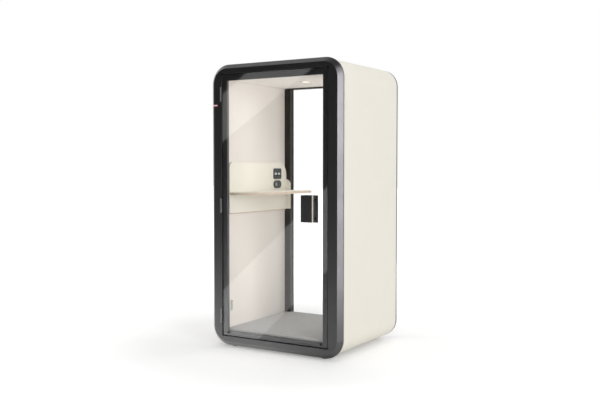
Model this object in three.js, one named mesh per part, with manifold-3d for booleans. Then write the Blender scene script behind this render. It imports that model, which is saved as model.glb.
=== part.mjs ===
// Acoustic office pod for one person: rounded shell, glass door, glass rear wall and a wall desk.
// Millimetres, +Z up, front towards -Y, origin on the floor below the middle of the pod.

import * as THREE from "three";
import { mergeVertices } from "three/addons/utils/BufferGeometryUtils.js";
import Module from "manifold-3d";

const wasm = await Module();
wasm.setup();

// Overall sizes
const width = 1200;
const height = 2250;
const depth = 990;
const standHeight = 12;
const cornerRadius = 155;

// Gap between touching pieces, run-out of a cut past its face, and the facets of round shapes
const clearance = 0.3;
const runOut = 1;
const arcSteps = 8;
const roundSides = 24;
const smallSides = 14;

// Front ring: face widths, depth and the chamfer of its outer edge
const ringSide = 112;
const ringTop = 76;
const ringBottom = 79;
const ringDepth = 45;
const ringChamfer = 35;

// Outer shell
const shellInset = 8;
const shellThickness = 18;

// Cabin: wall build-up, carpet face above the ring's lower edge, ceiling face below its upper edge
const wallDepth = 120;
const carpetRise = 134;
const ceilingDrop = 118;
const liningThickness = 12;
const ceilingThickness = 12;
const carpetThickness = 10;
const deckThickness = 14;
const deckEdgeGap = 2;
const carpetRearGap = 7;

// Base frame ribs and levelling feet
const ribWidth = 50;
const ribCells = 4;
const footRadius = 30;
const footRim = 6;
const footNeckRadius = 16;
const footStemRadius = 8;
const footStemLength = 40;

// Door leaf: all-round gap, glass, border frame behind the glass, stop and seal
const doorGap = 4;
const doorGlassThickness = 10;
const doorBorderSide = 44;
const doorBorderTop = 50;
const doorBorderBottom = 36;
const doorFrameDepth = 28;
const doorFrameInset = 1.5;
const jambDepth = 20;
const jambLap = 22;
const sealMargin = 3;

// Bolts that hold the glass to the border at its lower corners
const glassBoltSide = 56;
const glassBoltRise = 26;
const glassBoltHeadRadius = 8;
const glassBoltHeadHeight = 3;
const glassBoltRadius = 4;
const glassBoltDepth = 12;

// Pull handles: stepped plates, one on each side of the glass
const handleReach = 26;
const handlePlate = 4;
const handleGrip = 97.5;
const handleFlange = 36;
const handleEdge = 84;
const handleLength = 204;
const handleBottom = 1033;
const handleBoltRadius = 3;
const handleBoltHeadRadius = 6;
const handleBoltHeadHeight = 2.5;
const handleBoltInset = 34;

// Barrel hinges on the left edge of the door
const hingeInset = 158;
const hingeHeight = 112;
const hingeMiddleKnuckle = 40;
const hingeBarrelRadius = 7;
const hingePinRadius = 3.2;
const hingePinPlay = 0.4;
const hingePinHead = 3;
const hingeAxisOffset = 10;
const hingeLeafThickness = 1.5;
const hingeLeafDepth = 34;
const hingeLinkThickness = 3;
const hingeLeafRelief = 0.5;

// Status light on the left upright
const statusDrop = 326;
const statusLength = 62;
const statusHeight = 14;
const statusOuterGap = 10;
const statusDepth = 31;

// Rear window
const rearFrameDepth = 47;
const rearJamb = 58;
const rearHead = 11;
const rearTrimThickness = 16;
const rearGlassThickness = 8;
const rearRebate = 15;
const gasketThickness = 2;

// Ceiling light
const lightRadius = 47.5;
const lightBezel = 4;
const lightCanRadius = 40;
const lightCanHeight = 45;
const lightCanWall = 3;
const lensRadius = 35;
const lensThickness = 4;
const lensSetBack = 1;

// Ventilation: fans over the ceiling, grilles, low wall inlet
const fanSize = 120;
const fanHeight = 25;
const fanBoreRadius = 56;
const fanInset = 115;
const fanSpacing = 310;
const fanSpider = 4;
const fanHubRadius = 20;
const fanSpindleRadius = 3;
const fanSpindleHeight = 16;
const fanBlades = 7;
const fanBladeRoot = 18;
const fanBladeTip = 53;
const fanBladeChord = 14;
const fanBladeThickness = 2;
const fanBladePitch = 35;
const fanLap = 5;
const grilleSlot = 8;
const grillePitch = 20;
const grilleMargin = 12;
const roofGrilleWidth = 160;
const roofGrilleLength = 430;
const ventWidth = 36;
const ventHeight = 98;
const ventFrontGap = 100;
const ventRise = 259;
const ventPlate = 4;
const ventRim = 6;
const ventBars = 3;

// Roof electrics
const driverLength = 180;
const driverWidth = 100;
const driverHeight = 40;
const driverFlange = 15;
const driverFlangeThickness = 3;
const driverRearGap = 200;
const driverSideGap = 5;
const inletLength = 50;
const inletWidth = 30;
const inletFlange = 5;
const inletFlangeThickness = 3;
const inletDepth = 45;
const inletMouthLength = 27;
const inletMouthWidth = 20;
const inletMouthDepth = 16;
const inletSide = 330;
const inletRearGap = 130;
const roofCoreSide = 90;
const roofCoreRearGap = 190;

// Desk
const deskRise = 1096;
const deskReach = 264;
const deskBoardThickness = 20.5;
const laminateThickness = 1.2;
const deskFrontGap = 74;
const deskCornerRadius = 180;
const backboardThickness = 20;
const backboardFrontGap = 70;
const backboardBelow = 168;
const backboardAbove = 244;
const backboardFrontRadius = 55;
const backboardRearRadius = 110;
const bracketThickness = 5;
const bracketReach = 62;
const bracketAbove = 96;
const bracketRadius = 50;
const railLeg = 30;
const railThickness = 3;
const railEndGap = 60;

// Modules on the backboard
const moduleRearGap = 94;
const modulePlate = 8;
const socketWidth = 116;
const socketHeight = 93;
const socketRadius = 14;
const socketRise = 99;
const socketWindowWidth = 96;
const socketWindowHeight = 56;
const socketInsertDepth = 22;
const socketInsertSetBack = 1;
const outletRadius = 20;
const outletDepth = 15;
const outletSpacing = 50;
const controlWidth = 115;
const controlHeight = 66;
const controlRise = 20;
const buttonRadius = 17;
const buttonProud = 2.5;
const buttonThickness = 8;
const buttonSpacing = 56;
const buttonPlay = 0.4;

// Heights and depths worked out from the sizes above
const half = width / 2;
const frontY = (handleReach - depth) / 2;
const rearY = frontY + depth;
const ringZ0 = standHeight;
const ringZ1 = standHeight + height;
const ringBackY = frontY + ringDepth;

const openHalf = half - ringSide;
const openZ0 = ringZ0 + ringBottom;
const openZ1 = ringZ1 - ringTop;
const doorHalf = openHalf - doorGap;
const doorZ0 = openZ0 + doorGap;
const doorZ1 = openZ1 - doorGap;
const doorFrameY0 = frontY + doorGlassThickness + clearance;
const doorFrameY1 = frontY + doorGlassThickness + doorFrameDepth;

const outerHalf = half - shellInset;
const outerZ0 = ringZ0 + shellInset;
const outerZ1 = ringZ1 - shellInset;
const outerRadius = cornerRadius - shellInset;
const innerHalf = outerHalf - shellThickness;
const innerZ0 = outerZ0 + shellThickness;
const innerZ1 = outerZ1 - shellThickness;
const innerRadius = outerRadius - shellThickness;
const flatHalf = innerHalf - innerRadius;
const shellY0 = ringBackY + clearance;
const shellY1 = rearY - rearTrimThickness - clearance;

const jambY0 = ringBackY + clearance;
const jambY1 = jambY0 + jambDepth;
const rearFrameY1 = shellY1;
const rearFrameY0 = rearFrameY1 - rearFrameDepth;
const cabinY0 = jambY1 + clearance;
const cabinY1 = rearFrameY0 - clearance;
const cabinMidY = (cabinY0 + cabinY1) / 2;
const cabinHalf = half - wallDepth;
const liningHalf = cabinHalf + liningThickness;
const carpetZ1 = ringZ0 + carpetRise;
const carpetZ0 = carpetZ1 - carpetThickness;
const deckZ1 = carpetZ0 - clearance;
const deckZ0 = deckZ1 - deckThickness;
const ceilingZ0 = ringZ1 - ceilingDrop;
const ceilingZ1 = ceilingZ0 + ceilingThickness;
const roofFanX = flatHalf - fanInset;

const rearHalf = cabinHalf - rearJamb;
const rearZ0 = deckZ1;
const rearZ1 = ceilingZ0 - rearHead;
const rearGlassY1 = rearFrameY1;
const rearGlassY0 = rearGlassY1 - rearGlassThickness;
const gasketY1 = rearGlassY0 - clearance;
const gasketY0 = gasketY1 - gasketThickness;
const rebateY0 = gasketY0 - clearance;

const hingeAxisX = -(doorHalf + hingeAxisOffset);
const hingeAxisY = frontY - hingeBarrelRadius - clearance;

const footX = flatHalf - clearance - footRadius;
const footY0 = cabinY0 + footRadius;
const footY1 = cabinY1 - footRadius;

const bracketY1 = rearFrameY0 - clearance;
const bracketY0 = bracketY1 - bracketThickness;
const deskY0 = frontY + deskFrontGap;
const deskY1 = bracketY0 - clearance;
const deskZ1 = carpetZ1 + deskRise;
const deskBoardZ1 = deskZ1 - laminateThickness - clearance;
const deskBoardZ0 = deskBoardZ1 - deskBoardThickness;
const backboardX0 = -(cabinHalf - clearance);
const backboardX1 = backboardX0 + backboardThickness;
const deskX0 = backboardX1 + clearance;
const deskX1 = backboardX1 + deskReach;
const moduleY1 = deskY1 - moduleRearGap;
const moduleX0 = backboardX1 + clearance;
const moduleX1 = moduleX0 + modulePlate;

// Colours and finishes
function finish(color, roughness, metalness) {
  return new THREE.MeshStandardMaterial({ color, roughness, metalness });
}

const clearPane = finish(0xe4ecec, 0.05, 0);
clearPane.transparent = true;
clearPane.opacity = 0.25;
const materials = {
  anthracite: finish(0x38383b, 0.45, 0.3),
  cream: finish(0xe8e4da, 0.6, 0),
  felt: finish(0xe3dcd3, 0.9, 0),
  carpet: finish(0x9b9b9b, 1, 0),
  wool: finish(0x6f7378, 1, 0),
  board: finish(0xd8bba0, 0.6, 0),
  steel: finish(0xa9a9ad, 0.35, 0.9),
  rubber: finish(0x1d1d1f, 0.8, 0),
  blackPlastic: finish(0x333537, 0.5, 0),
  greyPlastic: finish(0x77797b, 0.5, 0),
  glow: finish(0xfff8ec, 0.4, 0),
  redGlow: finish(0xd23a46, 0.4, 0),
  clearPane,
};

// Solids and their joins and cuts

function toSolid(geometry) {
  const bare = geometry.clone();
  bare.deleteAttribute("normal");
  bare.deleteAttribute("uv");
  const merged = mergeVertices(bare);
  const vertProperties = new Float32Array(merged.attributes.position.array);
  const triVerts = new Uint32Array(merged.index.array);
  return new wasm.Manifold(new wasm.Mesh({ numProp: 3, vertProperties, triVerts }));
}

function toGeometry(solid) {
  const mesh = solid.getMesh();
  const geometry = new THREE.BufferGeometry();
  geometry.setAttribute("position", new THREE.BufferAttribute(mesh.vertProperties, 3));
  geometry.setIndex(new THREE.BufferAttribute(mesh.triVerts, 1));
  return geometry;
}

function cut(geometry, ...tools) {
  return toGeometry(tools.reduce((solid, tool) => solid.subtract(toSolid(tool)), toSolid(geometry)));
}

function fuse(geometry, ...others) {
  return toGeometry(others.reduce((solid, other) => solid.add(toSolid(other)), toSolid(geometry)));
}

function common(geometry, other) {
  return toGeometry(toSolid(geometry).intersect(toSolid(other)));
}

// Basic shapes in pod coordinates

function box(x0, x1, y0, y1, z0, z1) {
  const block = new THREE.BoxGeometry(x1 - x0, y1 - y0, z1 - z0);
  return block.translate((x0 + x1) / 2, (y0 + y1) / 2, (z0 + z1) / 2);
}

function rodX(y, z, x0, x1, radius, sides = smallSides) {
  const rod = new THREE.CylinderGeometry(radius, radius, x1 - x0, sides);
  return rod.rotateZ(-Math.PI / 2).translate((x0 + x1) / 2, y, z);
}

function rodY(x, z, y0, y1, radius, sides = smallSides) {
  const rod = new THREE.CylinderGeometry(radius, radius, y1 - y0, sides);
  return rod.translate(x, (y0 + y1) / 2, z);
}

function rodZ(x, y, z0, z1, radius, sides = smallSides) {
  const rod = new THREE.CylinderGeometry(radius, radius, z1 - z0, sides);
  return rod.rotateX(Math.PI / 2).translate(x, y, (z0 + z1) / 2);
}

// A profile of [radius, z] points, turned about a vertical axis
function turned(x, y, profile, sides = roundSides) {
  const points = profile.map(([radius, z]) => new THREE.Vector2(radius, z));
  return new THREE.LatheGeometry(points, sides).rotateX(Math.PI / 2).translate(x, y, 0);
}

// A rectangle with its own radius at each corner: lower left, lower right, upper right, upper left
function panel(u0, u1, v0, v1, radii = [0, 0, 0, 0]) {
  const shape = new THREE.Shape();
  const [lowerLeft, lowerRight, upperRight, upperLeft] = radii;
  const turn = (u, v, radius, start) => {
    if (radius > 0) {
      shape.absarc(u, v, radius, start, start + Math.PI / 2, false);
    } else {
      shape.lineTo(u, v);
    }
  };
  shape.moveTo(u0 + lowerLeft, v0);
  turn(u1 - lowerRight, v0 + lowerRight, lowerRight, -Math.PI / 2);
  turn(u1 - upperRight, v1 - upperRight, upperRight, 0);
  turn(u0 + upperLeft, v1 - upperLeft, upperLeft, Math.PI / 2);
  turn(u0 + lowerLeft, v0 + lowerLeft, lowerLeft, Math.PI);
  shape.closePath();
  return shape;
}

function evenPanel(u0, u1, v0, v1, radius) {
  return panel(u0, u1, v0, v1, [radius, radius, radius, radius]);
}

function withHole(shape, hole) {
  shape.holes.push(hole);
  return shape;
}

function polygon(points) {
  return new THREE.Shape(points.map(([u, v]) => new THREE.Vector2(u, v)));
}

function extrude(shape, length) {
  return new THREE.ExtrudeGeometry(shape, { depth: length, bevelEnabled: false, curveSegments: arcSteps });
}

// A shape in X and Z, carried along Y
function upright(shape, y0, y1) {
  return extrude(shape, y1 - y0).rotateX(Math.PI / 2).translate(0, y1, 0);
}

// A shape in X and Y, carried along Z
function flat(shape, z0, z1) {
  return extrude(shape, z1 - z0).translate(0, 0, z0);
}

// A shape in Y and Z, carried along X
function sideways(shape, x0, x1) {
  const axes = new THREE.Matrix4().makeBasis(
    new THREE.Vector3(0, 1, 0),
    new THREE.Vector3(0, 0, 1),
    new THREE.Vector3(1, 0, 0),
  );
  return extrude(shape, x1 - x0).applyMatrix4(axes).translate(x0, 0, 0);
}

// A closed skin through outlines with equal point counts, each { shape, y }, from front to back
function loft(sections) {
  const loops = sections.map(({ shape }) => {
    const points = shape.extractPoints(arcSteps).shape;
    const last = points[points.length - 1];
    return last.distanceTo(points[0]) < clearance ? points.slice(0, -1) : points;
  });
  const count = loops[0].length;
  const positions = [];
  loops.forEach((loop, i) => loop.forEach((p) => positions.push(p.x, sections[i].y, p.y)));
  const index = [];
  for (let i = 0; i + 1 < loops.length; i += 1) {
    for (let j = 0; j < count; j += 1) {
      const a = i * count + j;
      const b = i * count + ((j + 1) % count);
      index.push(a, a + count, b + count, a, b + count, b);
    }
  }
  const back = (loops.length - 1) * count;
  THREE.ShapeUtils.triangulateShape(loops[0], []).forEach(([a, b, c]) => {
    index.push(a, b, c, back + c, back + b, back + a);
  });
  const geometry = new THREE.BufferGeometry();
  geometry.setAttribute("position", new THREE.Float32BufferAttribute(positions, 3));
  geometry.setIndex(index);
  return geometry;
}

const pod = new THREE.Group();

function addPiece(name, geometry, material) {
  const mesh = new THREE.Mesh(geometry, material);
  mesh.name = name;
  pod.add(mesh);
}

// Outlines shared by the pieces that nest in the shell

function shellOutline() {
  return evenPanel(-outerHalf, outerHalf, outerZ0, outerZ1, outerRadius);
}

function cavityOutline(gap) {
  const radius = innerRadius - gap;
  return evenPanel(-innerHalf + gap, innerHalf - gap, innerZ0 + gap, innerZ1 - gap, radius);
}

function cavityHalfAt(z) {
  const below = Math.max(0, innerZ0 + innerRadius - z);
  return flatHalf + Math.sqrt(innerRadius ** 2 - below ** 2);
}

// Base, floor and feet

function footPlaces() {
  return [
    ["foot_front_left", -footX, footY0],
    ["foot_front_right", footX, footY0],
    ["foot_rear_left", -footX, footY1],
    ["foot_rear_right", footX, footY1],
  ];
}

function footHoles(z0, z1) {
  return footPlaces().map(([, x, y]) => rodZ(x, y, z0, z1, footStemRadius + clearance));
}

function buildBase() {
  const baseHalf = flatHalf - clearance;
  const baseZ0 = innerZ0 + clearance;
  const baseZ1 = deckZ0 - clearance;
  const cellX = (2 * baseHalf - (ribCells + 1) * ribWidth) / ribCells;
  const cellY = (cabinY1 - cabinY0 - (ribCells + 1) * ribWidth) / ribCells;
  const cells = [];
  for (let i = 0; i < ribCells; i += 1) {
    for (let j = 0; j < ribCells; j += 1) {
      const x = -baseHalf + ribWidth + i * (cellX + ribWidth);
      const y = cabinY0 + ribWidth + j * (cellY + ribWidth);
      cells.push(box(x, x + cellX, y, y + cellY, baseZ0 - runOut, baseZ1 + runOut));
    }
  }
  const slab = box(-baseHalf, baseHalf, cabinY0, cabinY1, baseZ0, baseZ1);
  const stemTop = outerZ0 + footStemLength + clearance;
  const stemHoles = footHoles(baseZ0 - runOut, stemTop);
  addPiece("base_frame", cut(slab, ...cells, ...stemHoles), materials.board);

  const deckHalf = cavityHalfAt(deckZ0) - deckEdgeGap;
  addPiece("floor_deck", box(-deckHalf, deckHalf, cabinY0, cabinY1, deckZ0, deckZ1), materials.board);

  const carpetHalf = cabinHalf - clearance;
  const tongueHalf = rearHalf - clearance;
  const tongueY = rebateY0 - carpetRearGap;
  const carpet = polygon([
    [-carpetHalf, cabinY0],
    [carpetHalf, cabinY0],
    [carpetHalf, cabinY1],
    [tongueHalf, cabinY1],
    [tongueHalf, tongueY],
    [-tongueHalf, tongueY],
    [-tongueHalf, cabinY1],
    [-carpetHalf, cabinY1],
  ]);
  addPiece("carpet", flat(carpet, carpetZ0, carpetZ1), materials.carpet);
}

function buildFeet() {
  const neckZ = outerZ0 - clearance;
  const profile = [
    [0, 0],
    [footRadius, 0],
    [footRadius, footRim],
    [footNeckRadius, neckZ],
    [footStemRadius, neckZ],
    [footStemRadius, outerZ0 + footStemLength],
    [0, outerZ0 + footStemLength],
  ];
  footPlaces().forEach(([name, x, y]) => addPiece(name, turned(x, y, profile), materials.rubber));
}

// Outer shell, filling and linings

function buildShell() {
  const wrap = upright(withHole(shellOutline(), cavityOutline(0)), shellY0, shellY1);
  const seam = clearance / 2;
  const left = common(wrap, box(-half, -seam, frontY, rearY, 0, ringZ1));
  const right = common(wrap, box(seam, half, frontY, rearY, 0, ringZ1));
  const holes = footHoles(0, innerZ0 + runOut);
  addPiece("left_shell", cut(left, ...holes, inletOpening()), materials.cream);
  addPiece("right_shell", cut(right, ...holes, roofOpening()), materials.cream);
}

function buildWalls() {
  const coreZ0 = innerZ0 + innerRadius;
  const coreZ1 = innerZ1 - innerRadius;
  const coreX0 = liningHalf + clearance;
  const coreX1 = innerHalf - clearance;
  const liningZ0 = deckZ1 + clearance;
  const liningZ1 = ceilingZ0 - clearance;
  const lining = box(-liningHalf, -cabinHalf, cabinY0, cabinY1, liningZ0, liningZ1);
  const ventHole = sideways(ventOutline(ventRim), -half, 0);
  addPiece("left_core", box(-coreX1, -coreX0, cabinY0, cabinY1, coreZ0, coreZ1), materials.wool);
  addPiece("right_core", box(coreX0, coreX1, cabinY0, cabinY1, coreZ0, coreZ1), materials.wool);
  addPiece("left_lining", cut(lining, ventHole), materials.felt);
  addPiece("right_lining", box(cabinHalf, liningHalf, cabinY0, cabinY1, liningZ0, liningZ1), materials.felt);
}

// Front ring, stop, seal and status light

function buildFront() {
  const inset = evenPanel(
    -half + ringChamfer,
    half - ringChamfer,
    ringZ0 + ringChamfer,
    ringZ1 - ringChamfer,
    cornerRadius - ringChamfer,
  );
  const full = evenPanel(-half, half, ringZ0, ringZ1, cornerRadius);
  const blank = loft([
    { shape: inset, y: frontY },
    { shape: full, y: frontY + ringChamfer },
    { shape: full, y: ringBackY },
  ]);
  const statusZ = ringZ1 - statusDrop;
  const statusX0 = -half + statusOuterGap;
  const statusBlock = (gap) => box(
    statusX0 + gap,
    statusX0 + statusLength - gap,
    frontY - runOut,
    frontY + statusDepth - gap,
    statusZ - statusHeight / 2 + gap,
    statusZ + statusHeight / 2 - gap,
  );
  const doorway = box(-openHalf, openHalf, frontY - runOut, rearY, openZ0, openZ1);
  addPiece("front_frame", cut(blank, doorway, statusBlock(0)), materials.anthracite);
  addPiece("status_light", common(blank, statusBlock(clearance)), materials.redGlow);

  const stopHalf = doorHalf - jambLap;
  const stopZ0 = doorZ0 + jambLap;
  const stopZ1 = doorZ1 - jambLap;
  const stop = withHole(cavityOutline(clearance), panel(-stopHalf, stopHalf, stopZ0, stopZ1));
  addPiece("door_jamb", upright(stop, jambY0, jambY1), materials.anthracite);

  const sealHalf = doorHalf - sealMargin;
  const seal = withHole(
    panel(-sealHalf, sealHalf, doorZ0 + sealMargin, doorZ1 - sealMargin),
    panel(-stopHalf - sealMargin, stopHalf + sealMargin, stopZ0 - sealMargin, stopZ1 + sealMargin),
  );
  addPiece("door_seal", upright(seal, doorFrameY1 + clearance, jambY0 - clearance), materials.rubber);
}

// Rear window

function buildRear() {
  const opening = () => panel(-rearHalf, rearHalf, rearZ0, rearZ1);
  const ring = upright(withHole(cavityOutline(clearance), opening()), rearFrameY0, rearFrameY1);
  const pocketHalf = rearHalf + rearRebate;
  const pocket = box(
    -pocketHalf, pocketHalf, rebateY0, rearY, rearZ0 - rearRebate, rearZ1 + rearRebate,
  );
  addPiece("rear_frame", cut(ring, pocket), materials.anthracite);

  const paneHalf = pocketHalf - clearance;
  const paneZ0 = rearZ0 - rearRebate + clearance;
  const paneZ1 = rearZ1 + rearRebate - clearance;
  const pane = box(-paneHalf, paneHalf, rearGlassY0, rearGlassY1, paneZ0, paneZ1);
  addPiece("rear_glass", pane, materials.clearPane);

  const gasket = withHole(panel(-paneHalf, paneHalf, paneZ0, paneZ1), opening());
  addPiece("rear_glass_gasket", upright(gasket, gasketY0, gasketY1), materials.rubber);

  const trim = withHole(shellOutline(), opening());
  addPiece("rear_trim", upright(trim, rearY - rearTrimThickness, rearY), materials.anthracite);
}

// Ceiling and its light

function buildCeiling() {
  const sheet = box(-liningHalf, liningHalf, cabinY0, cabinY1, ceilingZ0, ceilingZ1);
  const holeZ0 = ceilingZ0 - runOut;
  const holeZ1 = ceilingZ1 + runOut;
  const canHole = rodZ(0, cabinMidY, holeZ0, holeZ1, lightCanRadius + clearance, roundSides);
  addPiece("ceiling_panel", cut(sheet, canHole, grilleOpening()), materials.felt);

  const canTop = ceilingZ0 + lightCanHeight;
  const bezelZ1 = ceilingZ0 - clearance;
  const bezelZ0 = bezelZ1 - lightBezel;
  const boreRadius = lensRadius + clearance;
  const can = [
    [0, canTop - lightCanWall],
    [boreRadius, canTop - lightCanWall],
    [boreRadius, bezelZ0],
    [lightRadius, bezelZ0],
    [lightRadius, bezelZ1],
    [lightCanRadius, bezelZ1],
    [lightCanRadius, canTop],
    [0, canTop],
  ];
  addPiece("downlight_can", turned(0, cabinMidY, can), materials.cream);
  const lensZ0 = bezelZ0 + lensSetBack;
  const lens = rodZ(0, cabinMidY, lensZ0, lensZ0 + lensThickness, lensRadius - clearance, roundSides);
  addPiece("downlight_lens", lens, materials.glow);
}

// Ventilation

function grilleHalves() {
  return { halfX: fanSize / 2 - fanLap, halfY: (fanSpacing + fanSize) / 2 };
}

// A rectangular cut about a centre, through a sheet between two heights
function slotThrough(x, y, halfX, halfY, z0, z1) {
  return box(x - halfX, x + halfX, y - halfY, y + halfY, z0 - runOut, z1 + runOut);
}

function grilleOpening() {
  const { halfX, halfY } = grilleHalves();
  return slotThrough(roofFanX, cabinMidY, halfX, halfY, ceilingZ0, ceilingZ1);
}

function roofOpening() {
  const halfX = roofGrilleWidth / 2;
  const halfY = roofGrilleLength / 2;
  return slotThrough(roofFanX, cabinMidY, halfX, halfY, innerZ1, outerZ1);
}

// A flat plate with a row of slots across it
function grille(x, y, halfX, halfY, z0, z1) {
  const plate = box(x - halfX, x + halfX, y - halfY, y + halfY, z0, z1);
  const slotHalfX = halfX - grilleMargin;
  const count = Math.floor((2 * (halfY - grilleMargin)) / grillePitch);
  const slots = [];
  for (let i = 0; i < count; i += 1) {
    const slotY = y + (i - (count - 1) / 2) * grillePitch;
    slots.push(slotThrough(x, slotY, slotHalfX, grilleSlot / 2, z0, z1));
  }
  return cut(plate, ...slots);
}

function fanPlaces() {
  return [-1, 1].map((side) => cabinMidY + (side * fanSpacing) / 2);
}

// One tray with a round bore, a crossed spider, a hub and a spindle for each fan
function fanTray(x, z0) {
  const side = fanSize / 2;
  const [firstY, lastY] = fanPlaces();
  const tray = box(x - side, x + side, firstY - side, lastY + side, z0, z0 + fanHeight);
  const reach = fanBoreRadius + (side - fanBoreRadius) / 2;
  const bores = [];
  const mounts = [];
  fanPlaces().forEach((y) => {
    bores.push(rodZ(x, y, z0 - runOut, z0 + fanHeight + runOut, fanBoreRadius, roundSides));
    mounts.push(box(x - reach, x + reach, y - fanSpider, y + fanSpider, z0, z0 + fanSpider));
    mounts.push(box(x - fanSpider, x + fanSpider, y - reach, y + reach, z0, z0 + fanSpider));
    mounts.push(rodZ(x, y, z0, z0 + fanSpider, fanHubRadius));
    mounts.push(rodZ(x, y, z0, z0 + fanSpider + fanSpindleHeight, fanSpindleRadius));
  });
  return fuse(cut(tray, ...bores), ...mounts);
}

function fanRotor(x, y, z0) {
  const hubZ0 = z0 + fanSpider + clearance;
  const hubZ1 = z0 + fanSpider + fanSpindleHeight;
  const hub = cut(
    rodZ(x, y, hubZ0, hubZ1, fanHubRadius),
    rodZ(x, y, hubZ0 - runOut, hubZ1 + runOut, fanSpindleRadius + clearance),
  );
  const blades = [];
  for (let i = 0; i < fanBlades; i += 1) {
    const span = fanBladeTip - fanBladeRoot;
    const blade = new THREE.BoxGeometry(span, fanBladeThickness, fanBladeChord);
    blade.rotateX(THREE.MathUtils.degToRad(fanBladePitch));
    blade.translate(fanBladeRoot + span / 2, 0, 0);
    blade.rotateZ((2 * Math.PI * i) / fanBlades);
    blade.translate(x, y, (hubZ0 + hubZ1) / 2);
    blades.push(blade);
  }
  return fuse(hub, ...blades);
}

function ventOutline(rim) {
  const y0 = frontY + ventFrontGap;
  const z0 = ringZ0 + ventRise;
  const radius = ventWidth / 2 - rim;
  return evenPanel(y0 + rim, y0 + ventWidth - rim, z0 + rim, z0 + ventHeight - rim, radius);
}

function buildVentilation() {
  const { halfX, halfY } = grilleHalves();
  const gap = clearance;
  const inner = grille(roofFanX, cabinMidY, halfX - gap, halfY - gap, ceilingZ0, ceilingZ1);
  addPiece("ceiling_grille", inner, materials.cream);
  const roofHalfX = roofGrilleWidth / 2 - gap;
  const roofHalfY = roofGrilleLength / 2 - gap;
  const outer = grille(roofFanX, cabinMidY, roofHalfX, roofHalfY, innerZ1, outerZ1);
  addPiece("roof_grille", outer, materials.anthracite);

  const fanZ0 = ceilingZ1 + clearance;
  addPiece("fan_tray", fanTray(roofFanX, fanZ0), materials.blackPlastic);
  fanPlaces().forEach((y, i) => {
    addPiece(`fan_${i + 1}_rotor`, fanRotor(roofFanX, y, fanZ0), materials.greyPlastic);
  });

  const ventX0 = -(cabinHalf - clearance);
  const ventX1 = ventX0 + ventPlate;
  const ventY0 = frontY + ventFrontGap;
  const ventZ0 = ringZ0 + ventRise;
  const barPitch = (ventHeight - 2 * ventRim) / (ventBars + 1);
  const rim = sideways(withHole(ventOutline(0), ventOutline(ventRim)), ventX0, ventX1);
  const bars = [];
  for (let i = 1; i <= ventBars; i += 1) {
    const z = ventZ0 + ventRim + i * barPitch;
    const y0 = ventY0 + ventRim / 2;
    const y1 = ventY0 + ventWidth - ventRim / 2;
    bars.push(box(ventX0, ventX1, y0, y1, z - ventPlate / 2, z + ventPlate / 2));
  }
  addPiece("low_vent", fuse(rim, ...bars), materials.cream);
}

// Roof filling and electrics

function inletPlace() {
  return { x: -inletSide, y: cabinY1 - inletRearGap };
}

function inletOpening() {
  const { x, y } = inletPlace();
  return slotThrough(x, y, inletLength / 2, inletWidth / 2, innerZ1, outerZ1);
}

function buildRoof() {
  const roofZ0 = ceilingZ1 + clearance;
  const roofZ1 = innerZ1 - clearance;
  const coreX0 = -(flatHalf - clearance);
  const coreY1 = cabinY1 - roofCoreRearGap;
  addPiece("roof_core", box(coreX0, -roofCoreSide, cabinY0, coreY1, roofZ0, roofZ1), materials.wool);

  const driverX0 = -roofCoreSide + driverSideGap + driverFlange;
  const driverX1 = driverX0 + driverLength;
  const driverY = cabinY1 - driverRearGap;
  const halfY = driverWidth / 2;
  const body = box(driverX0, driverX1, driverY - halfY, driverY + halfY, roofZ0, roofZ0 + driverHeight);
  const earX0 = driverX0 - driverFlange;
  const earX1 = driverX1 + driverFlange;
  const earZ1 = roofZ0 + driverFlangeThickness;
  const ears = box(earX0, earX1, driverY - halfY / 2, driverY + halfY / 2, roofZ0, earZ1);
  addPiece("driver_box", fuse(body, ears), materials.greyPlastic);

  const { x, y } = inletPlace();
  const bodyX = inletLength / 2 - clearance;
  const bodyY = inletWidth / 2 - clearance;
  const rimX = inletLength / 2 + inletFlange;
  const rimY = inletWidth / 2 + inletFlange;
  const rimZ0 = outerZ1 + clearance;
  const rimZ1 = rimZ0 + inletFlangeThickness;
  const block = fuse(
    box(x - bodyX, x + bodyX, y - bodyY, y + bodyY, rimZ1 - inletDepth, rimZ1),
    box(x - rimX, x + rimX, y - rimY, y + rimY, rimZ0, rimZ1),
  );
  const mouthX = inletMouthLength / 2;
  const mouthY = inletMouthWidth / 2;
  const mouthZ0 = rimZ1 - inletMouthDepth;
  const mouth = box(x - mouthX, x + mouthX, y - mouthY, y + mouthY, mouthZ0, rimZ1 + runOut);
  addPiece("power_inlet", cut(block, mouth), materials.blackPlastic);
}

// Desk

function deskOutline() {
  const radius = deskCornerRadius;
  const shape = new THREE.Shape();
  shape.moveTo(deskX0, deskY0);
  shape.lineTo(deskX1 - radius, deskY0);
  shape.absarc(deskX1 - radius, deskY0 + radius, radius, -Math.PI / 2, 0, false);
  shape.lineTo(deskX1, deskY1);
  shape.lineTo(deskX0, deskY1);
  shape.closePath();
  return shape;
}

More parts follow.
